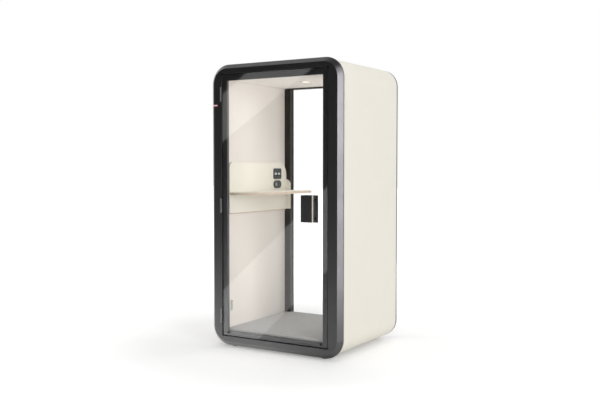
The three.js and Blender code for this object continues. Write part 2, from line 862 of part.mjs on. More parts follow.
function buildDesk() {
  const railZ1 = deskBoardZ0 - clearance;
  const railZ0 = railZ1 - railLeg;
  const flangeZ0 = railZ1 - railThickness;
  const railX0 = deskX0;
  const railX1 = railX0 + railLeg;
  addPiece("desk_board", flat(deskOutline(), deskBoardZ0, deskBoardZ1), materials.board);
  addPiece("desk_laminate", flat(deskOutline(), deskZ1 - laminateThickness, deskZ1), materials.cream);

  const angle = polygon([
    [railX0, railZ0],
    [railX0 + railThickness, railZ0],
    [railX0 + railThickness, flangeZ0],
    [railX1, flangeZ0],
    [railX1, railZ1],
    [railX0, railZ1],
  ]);
  const rail = upright(angle, deskY0 + railEndGap, deskY1 - railEndGap);
  addPiece("desk_rail", rail, materials.cream);

  const backZ0 = deskZ1 - backboardBelow;
  const backZ1 = deskZ1 + backboardAbove;
  const backY0 = frontY + backboardFrontGap;
  const back = panel(backY0, deskY1, backZ0, backZ1, [0, 0, backboardRearRadius, backboardFrontRadius]);
  const cutout = sideways(socketWindow(clearance), -half, 0);
  const backboard = cut(sideways(back, backboardX0, backboardX1), cutout);
  addPiece("desk_backboard", backboard, materials.cream);

  const bracketX1 = backboardX0 + bracketReach;
  const bracketZ1 = deskZ1 + bracketAbove;
  const bracket = panel(backboardX0, bracketX1, backZ0, bracketZ1, [0, 0, bracketRadius, 0]);
  addPiece("desk_rear_bracket", upright(bracket, bracketY0, bracketY1), materials.cream);
}

// Modules on the backboard

function socketPlace() {
  return { y: moduleY1 - socketWidth / 2, z: deskZ1 + socketRise + socketHeight / 2 };
}

function socketWindow(gap) {
  const { y, z } = socketPlace();
  const halfY = socketWindowWidth / 2 + gap;
  const halfZ = socketWindowHeight / 2 + gap;
  return panel(y - halfY, y + halfY, z - halfZ, z + halfZ);
}

function buildModules() {
  const { y, z } = socketPlace();
  const plate = evenPanel(
    y - socketWidth / 2, y + socketWidth / 2, z - socketHeight / 2, z + socketHeight / 2, socketRadius,
  );
  const frame = sideways(withHole(plate, socketWindow(clearance)), moduleX0, moduleX1);
  addPiece("socket_plate", frame, materials.blackPlastic);

  const insertX1 = moduleX1 - socketInsertSetBack;
  const outlets = [-1, 1].map((side) => {
    const outletY = y + (side * outletSpacing) / 2;
    return rodX(outletY, z, insertX1 - outletDepth, insertX1 + runOut, outletRadius, roundSides);
  });
  const insert = sideways(socketWindow(0), insertX1 - socketInsertDepth, insertX1);
  addPiece("socket_insert", cut(insert, ...outlets), materials.greyPlastic);

  const controlY = moduleY1 - controlWidth / 2;
  const controlZ = deskZ1 + controlRise + controlHeight / 2;
  const control = evenPanel(
    controlY - controlWidth / 2,
    controlY + controlWidth / 2,
    controlZ - controlHeight / 2,
    controlZ + controlHeight / 2,
    controlHeight / 2,
  );
  const buttons = [
    ["light_button", controlY - buttonSpacing / 2, materials.greyPlastic],
    ["fan_button", controlY + buttonSpacing / 2, materials.blackPlastic],
  ];
  const holes = buttons.map(([, buttonY]) => rodX(
    buttonY, controlZ, moduleX0 - runOut, moduleX1 + runOut, buttonRadius + buttonPlay, roundSides,
  ));
  const controlPlate = cut(sideways(control, moduleX0, moduleX1), ...holes);
  addPiece("control_plate", controlPlate, materials.blackPlastic);
  const buttonX1 = moduleX1 + buttonProud;
  buttons.forEach(([name, buttonY, material]) => {
    const cap = rodX(buttonY, controlZ, buttonX1 - buttonThickness, buttonX1, buttonRadius, roundSides);
    addPiece(name, cap, material);
  });
}

// Door leaf

function glassBoltPlaces() {
  const x = doorHalf - glassBoltSide;
  const z = doorZ0 + glassBoltRise;
  return [[-x, z], [x, z]];
}

function handleBoltPlaces() {
  const x = doorHalf - handleEdge - handleFlange / 2;
  return [
    [x, handleBottom + handleBoltInset],
    [x, handleBottom + handleLength - handleBoltInset],
  ];
}

// Plan of a stepped pull plate that stands off from a face at y towards the given side
function handlePlan(faceY, side) {
  const flangeX1 = doorHalf - handleEdge;
  const webX1 = flangeX1 - handleFlange;
  const webX0 = webX1 - handlePlate;
  const gripX0 = webX1 - handleGrip;
  const seatY = faceY + side * clearance;
  const topY = faceY + side * handleReach;
  return polygon([
    [gripX0, topY],
    [webX1, topY],
    [webX1, seatY + side * handlePlate],
    [flangeX1, seatY + side * handlePlate],
    [flangeX1, seatY],
    [webX0, seatY],
    [webX0, topY - side * handlePlate],
    [gripX0, topY - side * handlePlate],
  ]);
}

function buildDoor() {
  const glassY1 = frontY + doorGlassThickness;
  const glassHoles = glassBoltPlaces().map(([x, z]) => (
    rodY(x, z, frontY - runOut, glassY1 + glassBoltDepth + clearance, glassBoltRadius + clearance)
  ));
  const handleHoles = handleBoltPlaces().map(([x, z]) => (
    rodY(x, z, frontY - handleReach, glassY1 + handleReach, handleBoltRadius + clearance)
  ));
  const pane = box(-doorHalf, doorHalf, frontY, glassY1, doorZ0, doorZ1);
  addPiece("door_glass", cut(pane, ...glassHoles, ...handleHoles), materials.clearPane);

  const frameHalf = doorHalf - doorFrameInset;
  const clearHalf = doorHalf - doorBorderSide;
  const border = withHole(
    panel(-frameHalf, frameHalf, doorZ0 + doorFrameInset, doorZ1 - doorFrameInset),
    panel(-clearHalf, clearHalf, doorZ0 + doorBorderBottom, doorZ1 - doorBorderTop),
  );
  const frame = upright(border, doorFrameY0, doorFrameY1);
  addPiece("door_frame", cut(frame, ...glassHoles), materials.anthracite);

  const sides = ["left", "right"];
  glassBoltPlaces().forEach(([x, z], i) => {
    const bolt = fuse(
      rodY(x, z, frontY - clearance - glassBoltHeadHeight, frontY - clearance, glassBoltHeadRadius),
      rodY(x, z, frontY - clearance - runOut, glassY1 + glassBoltDepth, glassBoltRadius),
    );
    addPiece(`glass_bolt_${sides[i]}`, bolt, materials.rubber);
  });

  const handleTop = handleBottom + handleLength;
  const pull = flat(handlePlan(frontY, -1), handleBottom, handleTop);
  const innerPull = flat(handlePlan(glassY1, 1), handleBottom, handleTop);
  addPiece("handle_outer", cut(pull, ...handleHoles), materials.anthracite);
  addPiece("handle_inner", cut(innerPull, ...handleHoles), materials.anthracite);

  const headY0 = frontY - handlePlate - 2 * clearance;
  const headY1 = glassY1 + handlePlate + 2 * clearance;
  const levels = ["lower", "upper"];
  handleBoltPlaces().forEach(([x, z], i) => {
    const bolt = fuse(
      rodY(x, z, headY0 - handleBoltHeadHeight, headY0, handleBoltHeadRadius),
      rodY(x, z, headY0 - runOut, headY1 + runOut, handleBoltRadius),
      rodY(x, z, headY1, headY1 + handleBoltHeadHeight, handleBoltHeadRadius),
    );
    addPiece(`handle_bolt_${levels[i]}`, bolt, materials.steel);
  });
}

// Hinges: each leaf is a plate in the door gap with links out to its knuckles on the barrel

function hingeLeaf(plateX0, z0, knuckles) {
  const plateX1 = plateX0 + hingeLeafThickness;
  const plateY1 = frontY + hingeLeafDepth;
  const linkY0 = hingeAxisY - hingeLinkThickness / 2;
  const linkY1 = hingeAxisY + hingeLinkThickness / 2;
  const plate = box(plateX0, plateX1, frontY + hingeLeafRelief, plateY1, z0, z0 + hingeHeight);
  const bodies = knuckles.flatMap(([k0, k1]) => [
    rodZ(hingeAxisX, hingeAxisY, k0, k1, hingeBarrelRadius),
    box(hingeAxisX, plateX1, linkY0, linkY1, k0, k1),
    box(plateX0, plateX1, linkY0, plateY1, k0, k1),
  ]);
  const boreZ0 = z0 - runOut;
  const boreZ1 = z0 + hingeHeight + runOut;
  const bore = rodZ(hingeAxisX, hingeAxisY, boreZ0, boreZ1, hingePinRadius + hingePinPlay);
  return cut(fuse(plate, ...bodies), bore);
}

function buildHinges() {
  const lower = doorZ0 + hingeInset;
  const upper = doorZ1 - hingeInset;
  const places = [
    ["bottom", lower],
    ["middle", (lower + upper) / 2],
    ["top", upper],
  ];
  const frameLeafX = -openHalf + clearance;
  const doorLeafX = -doorHalf - clearance - hingeLeafThickness;
  places.forEach(([place, z]) => {
    const z0 = z - hingeHeight / 2;
    const z1 = z + hingeHeight / 2;
    const middle0 = z - hingeMiddleKnuckle / 2;
    const middle1 = z + hingeMiddleKnuckle / 2;
    const outer = [[z0, middle0 - clearance], [middle1 + clearance, z1]];
    addPiece(`hinge_${place}_frame_leaf`, hingeLeaf(frameLeafX, z0, outer), materials.steel);
    addPiece(`hinge_${place}_door_leaf`, hingeLeaf(doorLeafX, z0, [[middle0, middle1]]), materials.steel);
    const headRadius = hingeBarrelRadius - hingePinPlay;
    const pin = [
      [0, z0 - clearance - hingePinHead],
      [headRadius, z0 - clearance - hingePinHead],
      [headRadius, z0 - clearance],
      [hingePinRadius, z0 - clearance],
      [hingePinRadius, z1 + clearance],
      [headRadius, z1 + clearance],
      [headRadius, z1 + clearance + hingePinHead],
      [0, z1 + clearance + hingePinHead],
    ];
    addPiece(`hinge_${place}_pin`, turned(hingeAxisX, hingeAxisY, pin, smallSides), materials.steel);
  });
}

buildBase();
buildFeet();
buildShell();
buildWalls();
buildFront();
buildRear();
buildCeiling();
buildVentilation();
buildRoof();
buildDesk();
buildModules();
buildDoor();
buildHinges();

export default pod;
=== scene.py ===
"""Studio scene of a one-person acoustic pod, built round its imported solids.

Metres, +Z up. The pod's front faces -Y and its middle stands over the origin. Pieces whose curves and
edges show are made here as finer surfaces; the other solids stay and get softened edges and finishes.
"""

import logging
import math
from collections.abc import Iterable, Sequence
from dataclasses import dataclass
from enum import Enum
from functools import cache
from typing import Any

import bmesh
import bpy
import numpy as np
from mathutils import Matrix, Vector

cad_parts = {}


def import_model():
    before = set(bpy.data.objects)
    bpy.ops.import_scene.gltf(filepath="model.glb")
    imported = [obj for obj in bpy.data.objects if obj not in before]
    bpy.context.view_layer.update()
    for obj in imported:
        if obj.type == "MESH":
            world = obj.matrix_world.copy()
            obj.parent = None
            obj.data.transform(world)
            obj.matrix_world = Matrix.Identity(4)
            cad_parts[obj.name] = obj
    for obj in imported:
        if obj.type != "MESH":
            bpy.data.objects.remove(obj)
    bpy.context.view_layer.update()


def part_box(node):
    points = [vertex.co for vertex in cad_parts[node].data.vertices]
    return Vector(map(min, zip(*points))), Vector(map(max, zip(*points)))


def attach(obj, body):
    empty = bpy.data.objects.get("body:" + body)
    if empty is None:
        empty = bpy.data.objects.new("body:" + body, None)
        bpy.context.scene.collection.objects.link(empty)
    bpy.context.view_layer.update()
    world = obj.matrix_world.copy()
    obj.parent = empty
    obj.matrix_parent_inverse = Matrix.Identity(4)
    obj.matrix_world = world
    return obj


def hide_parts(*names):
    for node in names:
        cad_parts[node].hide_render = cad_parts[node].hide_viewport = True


LOG = logging.getLogger("pod")

# Edges sharper than this get a rim, and the shading breaks at them.
FACET_ANGLE = math.radians(35)
RIM_SEGMENTS = 2
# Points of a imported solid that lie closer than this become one.
WELD_GAP = 1e-5
# Slack in a comparison of two places.
TOUCH = 1e-6

# Steps of a large arc, of a small bend, of a dome and of a rim, and sides of a circle.
ARC_STEPS = 20
BEND_STEPS = 6
DOME_STEPS = 8
EDGE_STEPS = 3
ROUND_SIDES = 48
# Radius of corners that look square.
FINE_RADIUS = 0.0004
# Inset of the middle of a quarter round from both its faces, as a share of its radius.
ROUND_MIDDLE = 0.3

# Colour sockets of the Mix node, by number because its sockets share names.
MIX_FIRST, MIX_SECOND, MIX_RESULT = 6, 7, 2
# Phase that the wave texture gains over a metre at a scale of 1.
WAVE_RATE = 20

Colour = tuple[float, float, float]
Span = tuple[float, float]
Point = tuple[float, float, float]


class Plane(Enum):
    """The plane that an outline is drawn in: its two axes, then the axis it is carried along."""

    UPRIGHT = (0, 2, 1)
    FLAT = (0, 1, 2)
    SIDEWAYS = (1, 2, 0)

    def place(self, outline: np.ndarray, level: np.ndarray | float) -> np.ndarray:
        """Put flat points into space at a level.

        Args:
            outline: Flat points, the last axis of length 2.
            level: Place along the carried axis, one for all points or one for each.

        Returns:
            The same points with three coordinates.
        """
        first, second, carried = self.value
        points = np.empty(outline.shape[:-1] + (3,))
        points[..., first] = outline[..., 0]
        points[..., second] = outline[..., 1]
        points[..., carried] = level
        return points


class Side(Enum):
    """Left or right, as the sign of a coordinate."""

    LEFT = -1
    RIGHT = 1


class End(Enum):
    """The front or rear pair of feet."""

    FRONT = "front"
    REAR = "rear"


class Face(Enum):
    """The door's two faces, as the way out of each along Y."""

    OUTER = -1
    INNER = 1


class Place(Enum):
    """The three hinges of the door."""

    BOTTOM = "bottom"
    MIDDLE = "middle"
    TOP = "top"


class Body(Enum):
    """The bodies that the pieces made here move with."""

    POD = "pod"
    DOOR = "door"
    LIGHT_BUTTON = "light_button"
    FAN_BUTTON = "fan_button"


@dataclass(frozen=True)
class Box:
    """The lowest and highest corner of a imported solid."""

    low: np.ndarray
    high: np.ndarray

    @classmethod
    def of(cls, node: str) -> "Box":
        """Read the box of a node from the frame."""
        low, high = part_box(node)
        return cls(np.array(low, dtype=float), np.array(high, dtype=float))

    @property
    def middle(self) -> np.ndarray:
        """The point halfway between the corners."""
        return (self.low + self.high) / 2

    def span(self, axis: int) -> Span:
        """The lowest and highest value along an axis."""
        return float(self.low[axis]), float(self.high[axis])

    def size(self, axis: int) -> float:
        """The length along an axis."""
        return float(self.high[axis] - self.low[axis])

    def front(self, step: float = 0.0) -> tuple[Span, Span]:
        """The spans in X and Z, narrowed by a step at both ends."""
        (x0, x1), (z0, z1) = self.span(0), self.span(2)
        return (x0 + step, x1 - step), (z0 + step, z1 - step)


# Outlines and surfaces


def unit(vectors: np.ndarray) -> np.ndarray:
    """Scale vectors to a length of 1."""
    return vectors / np.linalg.norm(vectors, axis=-1, keepdims=True)


def rounded(corners: np.ndarray, radii: Sequence[float] | float, steps: int = ARC_STEPS) -> np.ndarray:
    """Round every corner of a closed flat outline.

    A corner whose sides meet at twice the angle a gets an arc of radius r. The arc leaves the sides at
    r / tan a from the corner, and its centre lies on the bisector at r / sin a.

    Args:
        corners: Corner points in order, n by 2.
        radii: One radius for all corners, or one for each.
        steps: Straight steps in each arc.

    Returns:
        The arcs' points in order, n * (steps + 1) by 2.
    """
    radius = np.broadcast_to(np.asarray(radii, dtype=float), len(corners))
    back = unit(np.roll(corners, 1, axis=0) - corners)
    ahead = unit(np.roll(corners, -1, axis=0) - corners)
    half = np.arccos(np.clip((back * ahead).sum(axis=1), -1, 1)) / 2
    centre = corners + unit(back + ahead) * (radius / np.sin(half))[:, None]
    reach = (radius / np.tan(half))[:, None]
    start = corners + back * reach - centre
    end = corners + ahead * reach - centre
    sweep = (math.pi - 2 * half)[:, None]
    along = np.linspace(0, 1, steps + 1)[None, :]
    from_start = np.sin((1 - along) * sweep) / np.sin(sweep)
    from_end = np.sin(along * sweep) / np.sin(sweep)
    arcs = centre[:, None] + from_start[..., None] * start[:, None] + from_end[..., None] * end[:, None]
    return arcs.reshape(-1, 2)


def rectangle(across: Span, up: Span, radii: Sequence[float] | float = FINE_RADIUS) -> np.ndarray:
    """Outline of a rectangle with round corners, from the lower left corner, anticlockwise.

    Args:
        across: Lowest and highest first coordinate.
        up: Lowest and highest second coordinate.
        radii: One radius, or four from the lower left corner.

    Returns:
        Points of the closed outline, n by 2.
    """
    (u0, u1), (v0, v1) = across, up
    return rounded(np.array([[u0, v0], [u1, v0], [u1, v1], [u0, v1]]), radii)


def circle(centre: np.ndarray, radius: float) -> np.ndarray:
    """Points at even angles round a centre, at one radius."""
    turn = np.linspace(0, 2 * math.pi, ROUND_SIDES, endpoint=False)
    return np.asarray(centre) + radius * np.stack([np.cos(turn), np.sin(turn)], axis=-1)


def inset(outline: np.ndarray, distance: float) -> np.ndarray:
    """Move a closed outline inwards by a distance.

    Each point moves along the mitre (m + n) / (1 + m . n) of the inward normals m and n of its sides.

    Args:
        outline: Closed outline, anticlockwise.
        distance: How far it moves, below 0 to move outwards.

    Returns:
        The moved outline.
    """
    along = unit(np.roll(outline, -1, axis=0) - outline)
    normal = np.stack([-along[:, 1], along[:, 0]], axis=-1)
    before = np.roll(normal, 1, axis=0)
    mitre = (normal + before) / (1 + (normal * before).sum(axis=1))[:, None]
    return outline + distance * mitre


def edge_rows(low: float, high: float, radius: float) -> tuple[np.ndarray, np.ndarray]:
    """Insets and levels of the rows that round both rims of a plate with quarter circles.

    At an angle a, a row is inset by r (1 - sin a) and lies r (1 - cos a) from its face.

    Args:
        low: Level of the first face.
        high: Level of the second face.
        radius: Radius of both rims.

    Returns:
        The inset of each row, and its level.
    """
    turn = np.linspace(0, math.pi / 2, EDGE_STEPS + 1)
    insets = radius * (1 - np.sin(turn))
    rise = radius * (1 - np.cos(turn))
    return np.concatenate([insets, insets[::-1]]), np.concatenate([low + rise, high - rise[::-1]])


def numbered(rows: np.ndarray) -> np.ndarray:
    """Point numbers of a grid, rows by columns."""
    return np.arange(rows.shape[0] * rows.shape[1]).reshape(rows.shape[:2])


def grid_faces(index: np.ndarray, closed: bool) -> np.ndarray:
    """Quads between neighbouring rows and columns of a grid of point numbers.

    Args:
        index: Point numbers, rows by columns.
        closed: Whether the last column joins the first.

    Returns:
        Quads, rows - 1 by columns (or columns - 1) by 4.
    """
    grid = np.concatenate([index, index[:, :1]], axis=1) if closed else index
    return np.stack([grid[:-1, :-1], grid[:-1, 1:], grid[1:, 1:], grid[1:, :-1]], axis=-1)


@dataclass
class Surface:
    """Points and faces of a piece."""

    points: np.ndarray
    faces: list[list[int]]

    @classmethod
    def loft(cls, rows: np.ndarray) -> "Surface":
        """A skin over rows of closed outlines, with a flat cap on the first and last row.

        Args:
            rows: Points, rows by columns by 3.

        Returns:
            The closed surface.
        """
        index = numbered(rows)
        quads = grid_faces(index, closed=True).reshape(-1, 4).tolist()
        return cls(rows.reshape(-1, 3), [*quads, index[0].tolist(), index[-1].tolist()])

    @classmethod
    def ring(cls, rows: np.ndarray) -> "Surface":
        """A skin over rows of closed outlines, whose last row joins the first.

        Args:
            rows: Points, rows by columns by 3.

        Returns:
            The closed surface.
        """
        index = numbered(rows)
        index = np.concatenate([index, index[:1]])
        return cls(rows.reshape(-1, 3), grid_faces(index, closed=True).reshape(-1, 4).tolist())

    @classmethod
    def joined(cls, parts: Iterable["Surface"]) -> "Surface":
        """Put several surfaces together.

        Args:
            parts: The surfaces.

        Returns:
            One surface with the points and faces of all.
        """
        points: list[np.ndarray] = []
        faces: list[list[int]] = []
        count = 0
        for part in parts:
            faces += [[number + count for number in face] for face in part.faces]
            points.append(part.points)
            count += len(part.points)
        return cls(np.concatenate(points), faces)


def plate(outline: np.ndarray, plane: Plane, levels: Span, rim: float) -> Surface:
    """A flat plate with rounded rims: its outline carried between two levels, inset along the rims.

    Args:
        outline: Closed outline, anticlockwise.
        plane: Plane of the outline.
        levels: Lowest and highest level.
        rim: Radius of the rims.

    Returns:
        The closed surface.
    """
    insets, heights = edge_rows(*levels, rim)
    rows = [plane.place(inset(outline, step), height) for step, height in zip(insets, heights)]
    return Surface.loft(np.array(rows))


def hoop(outer: np.ndarray, inner: np.ndarray, plane: Plane, levels: Span, rim: float) -> Surface:
    """A flat plate with one opening: rounded rims go up the outer outline and down the inner one.

    Args:
        outer: Closed outer outline, anticlockwise.
        inner: Closed outline of the opening, with as many points in the same order.
        plane: Plane of the outlines.
        levels: Lowest and highest level.
        rim: Radius of all rims.

    Returns:
        The closed surface.
    """
    insets, heights = edge_rows(*levels, rim)
    outside = [plane.place(inset(outer, step), height) for step, height in zip(insets, heights)]
    inside = [plane.place(inset(inner, -step), height) for step, height in zip(insets, heights)]
    return Surface.ring(np.array(outside + inside[::-1]))


def turned(profile: np.ndarray, plane: Plane, centre: Sequence[float], hollow: bool = False) -> Surface:
    """A profile of radius and level, turned about a centre.

    Args:
        profile: Radius and level of each row, n by 2.
        plane: Plane of the circles.
        centre: Centre of the circles in that plane.
        hollow: Whether the last row joins the first, as in a tube, instead of both being capped.

    Returns:
        The closed surface.
    """
    rows = np.array([plane.place(circle(np.array(centre), radius), level) for radius, level in profile])
    return Surface.ring(rows) if hollow else Surface.loft(rows)


# Finishes


class Graph:
    """The node tree of a material or world, with short calls to add and join nodes."""

    def __init__(self, tree: bpy.types.NodeTree) -> None:
        """Empty the tree."""
        self.tree = tree
        tree.nodes.clear()

    def add(self, kind: str, inputs: dict[str | int, Any] | None = None, **settings: Any) -> bpy.types.Node:
        """Add a node.

        Args:
            kind: Node type without its ShaderNode prefix.
            inputs: Values or output sockets for its inputs, by name or number.
            settings: Properties of the node.

        Returns:
            The new node.
        """
        node = self.tree.nodes.new("ShaderNode" + kind)
        for name, value in settings.items():
            setattr(node, name, value)
        for name, value in (inputs or {}).items():
            if isinstance(value, bpy.types.NodeSocket):
                self.tree.links.new(value, node.inputs[name])
            else:
                node.inputs[name].default_value = value
        return node

    def math(self, operation: str, *values: Any) -> bpy.types.NodeSocket:
        """Add a Math node and return its value."""
        return self.add("Math", dict(enumerate(values)), operation=operation).outputs[0]

    def place(self) -> bpy.types.NodeSocket:
        """The point on the piece in metres."""
        return self.add("TexCoord").outputs["Object"]

    def stretched(self, scale: Sequence[float]) -> bpy.types.NodeSocket:
        """The point on the piece with each axis scaled."""
        return self.add("Mapping", {"Vector": self.place(), "Scale": tuple(scale)}).outputs[0]

    def noise(self, size: float, detail: float = 2, vector: Any = None) -> bpy.types.NodeSocket:
        """Cloudy noise from 0 to 1.

        Args:
            size: Size of its features in metres.
            detail: Finer octaves added to it.
            vector: Point that it is read at, or None for the point on the piece.

        Returns:
            The noise's output.
        """
        point = self.place() if vector is None else vector
        node = self.add("TexNoise", {"Vector": point, "Scale": 1 / size, "Detail": detail})
        return node.outputs["Fac"]

    def blend(self, factor: Any, first: Any, second: Any) -> bpy.types.NodeSocket:
        """Mix two colours.

        Args:
            factor: 0 for the first colour, 1 for the second.
            first: Colour or output socket.
            second: Colour or output socket.

        Returns:
            The mixed colour's output.
        """
        inputs = {"Factor": factor}
        for number, value in ((MIX_FIRST, first), (MIX_SECOND, second)):
            inputs[number] = value if isinstance(value, bpy.types.NodeSocket) else (*value, 1)
        return self.add("Mix", inputs, data_type="RGBA").outputs[MIX_RESULT]

    def weighted(self, first: Any, second: Any, share: float) -> bpy.types.NodeSocket:
        """The sum of two values, the first with a share and the second with the rest."""
        return self.math("ADD", self.math("MULTIPLY", first, share), self.math("MULTIPLY", second, 1 - share))

    def spread(self, value: Any, low: float, high: float, start: float = 0.3, end: float = 0.7) -> Any:
        """Map a value from start to end onto low to high."""
        inputs = {"Value": value, "From Min": start, "From Max": end, "To Min": low, "To Max": high}
        return self.add("MapRange", inputs).outputs[0]

    def bump(self, height: Any, depth: float, strength: float = 1) -> bpy.types.NodeSocket:
        """A normal bent by a height from 0 to 1, with a depth in metres."""
        node = self.add("Bump", {"Height": height, "Distance": depth, "Strength": strength})
        return node.outputs[0]


def new_material(name: str) -> tuple[bpy.types.Material, Graph]:
    """Make an empty material.

    Args:
        name: Its name.

    Returns:
        The material and its node tree.
    """
    made = bpy.data.materials.new(name)
    made.use_nodes = True
    return made, Graph(made.node_tree)


def scaled(colour: Colour, factor: float) -> Colour:
    """A colour made darker or lighter by a factor."""
    return colour[0] * factor, colour[1] * factor, colour[2] * factor


@dataclass(frozen=True)
class Finish:
    """A finish with a cloudy tone, a fine grain and a nearly even gloss.

    The tone varies by a share of the colour over clouds of one size, with speckles a few times coarser than
    the grain. The grain is noise that bends the normal, and the gloss varies in smaller clouds of its own.
    """

    name: str
    slot: str
    colour: Colour
    roughness: float
    tone: float = 0.04
    cloud: float = 0.25
    cloud_share: float = 0.6
    cloud_detail: int = 3
    grain: float = 0.0008
    speckle: float = 3.0
    depth: float = 0.00008
    gloss_clouds: float = 3.0
    gloss_range: float = 0.07
    metallic: float = 0.0
    sheen: float = 0.0
    index: float = 1.5

    @cache
    def material(self) -> bpy.types.Material:
        """Make the material on the first call.

        Returns:
            The finished material, the same on every call.
        """
        made, graph = new_material(self.name)
        graph.add("OutputMaterial", {"Surface": self.shader(graph)})
        return made

    def shader(self, graph: Graph) -> bpy.types.NodeSocket:
        """Add the nodes of the finish.

        Args:
            graph: Tree of the material.

        Returns:
            The shader's output.
        """
        return self.principled(graph, self.tint(graph), self.relief(graph))

    def tint(self, graph: Graph) -> bpy.types.NodeSocket:
        """The colour, darker and lighter in clouds and speckled by the grain.

        Args:
            graph: Tree of the material.

        Returns:
            The colour's output.
        """
        clouds = graph.noise(self.cloud, self.cloud_detail)
        speckle = graph.noise(self.grain * self.speckle, detail=1)
        return self.shades(graph, graph.spread(graph.weighted(clouds, speckle, self.cloud_share), 0, 1))

    def shades(self, graph: Graph, factor: Any) -> bpy.types.NodeSocket:
        """The colour, made darker by its tone at a factor of 0 and lighter at 1."""
        return graph.blend(factor, scaled(self.colour, 1 - self.tone), scaled(self.colour, 1 + self.tone))

    def relief(self, graph: Graph) -> bpy.types.NodeSocket:
        """The normal bent by the grain."""
        return graph.bump(graph.noise(self.grain), self.depth)

    def principled(self, graph: Graph, colour: Any, normal: Any) -> bpy.types.NodeSocket:
        """Add the surface shader with the finish's gloss.

        Args:
            graph: Tree of the material.
            colour: Colour socket.
            normal: Normal socket.

        Returns:
            The shader's output.
        """
        sharp, dull = self.roughness * (1 - self.gloss_range), self.roughness * (1 + self.gloss_range)
        inputs = {
            "Base Color": colour,
            "Roughness": graph.spread(graph.noise(self.cloud / self.gloss_clouds), sharp, dull),
            "Normal": normal,
            "Metallic": self.metallic,
            "Sheen Weight": self.sheen,
            "IOR": self.index,
        }
        return graph.add("BsdfPrincipled", inputs).outputs[0]


@dataclass(frozen=True)
class FeltFinish(Finish):
    """Pressed felt: long soft fibres in two directions over a fine grain."""

    fibre: float = 0.0025
    draw: float = 0.2

    def relief(self, graph: Graph) -> bpy.types.NodeSocket:
        """Fibres are noise drawn out along each of two axes, added together.

        Args:
            graph: Tree of the material.

        Returns:
            The bent normal's output.
        """
        lying = graph.noise(self.fibre, detail=3, vector=graph.stretched((1, self.draw, 1)))
        standing = graph.noise(self.fibre, detail=3, vector=graph.stretched((1, 1, self.draw)))
        return graph.bump(graph.math("ADD", lying, standing), self.depth)


@dataclass(frozen=True)
class CarpetFinish(Finish):
    """Looped pile: round cells for the loops, each with a shade of its own."""

    loop: float = 0.0045
    loop_share: float = 0.7
    press: float = 0.6

    def cells(self, graph: Graph) -> bpy.types.Node:
        """Cells as wide as a loop."""
        return graph.add("TexVoronoi", {"Vector": graph.place(), "Scale": 1 / self.loop})

    def tint(self, graph: Graph) -> bpy.types.NodeSocket:
        """Each loop takes a shade between dark and light, over broad clouds.

        Args:
            graph: Tree of the material.

        Returns:
            The colour's output.
        """
        shade = graph.add("SeparateColor", {0: self.cells(graph).outputs["Color"]}).outputs[0]
        clouds = graph.noise(self.cloud, self.cloud_detail)
        return self.shades(graph, graph.weighted(shade, clouds, self.loop_share))

    def relief(self, graph: Graph) -> bpy.types.NodeSocket:
        """Each loop is a dome, high at the middle of its cell."""
        dome = graph.math("SUBTRACT", 1.0, self.cells(graph).outputs["Distance"])
        return graph.bump(dome, self.depth, self.press)


@dataclass(frozen=True)
class PlyFinish(Finish):
    """Veneered board: plies one above another and grain along Y."""

    ply: float = 0.0026
    ply_share: float = 0.45
    waviness: float = 0.4
    pale: Colour = (0.705, 0.605, 0.49)
    streak: float = 0.006
    streak_draw: float = 0.06
    pore: float = 0.0015
    pore_draw: float = 0.05

    def tint(self, graph: Graph) -> bpy.types.NodeSocket:
        """Plies alternate by height, half a wave to a ply, and long streaks run through both shades.

        Args:
            graph: Tree of the material.

        Returns:
            The colour's output.
        """
        scale = math.pi / (WAVE_RATE * self.ply)
        inputs = {"Vector": graph.place(), "Scale": scale, "Distortion": self.waviness}
        plies = graph.add("TexWave", inputs, wave_type="BANDS", bands_direction="Z").outputs["Fac"]
        streaks = graph.noise(self.streak, detail=4, vector=graph.stretched((1, self.streak_draw, 1)))
        return graph.blend(graph.weighted(plies, streaks, self.ply_share), self.colour, self.pale)

    def relief(self, graph: Graph) -> bpy.types.NodeSocket:
        """Open pores along the grain."""
        pores = graph.noise(self.pore, detail=3, vector=graph.stretched((1, self.pore_draw, 1)))
        return graph.bump(pores, self.depth)


@dataclass(frozen=True)
class BrushedFinish(Finish):
    """Metal with fine brush marks along Z."""

    draw: float = 0.02

    def relief(self, graph: Graph) -> bpy.types.NodeSocket:
        """Brush marks are noise drawn out along Z."""
        marks = graph.noise(self.grain, detail=3, vector=graph.stretched((1, 1, self.draw)))
        return graph.bump(marks, self.depth)


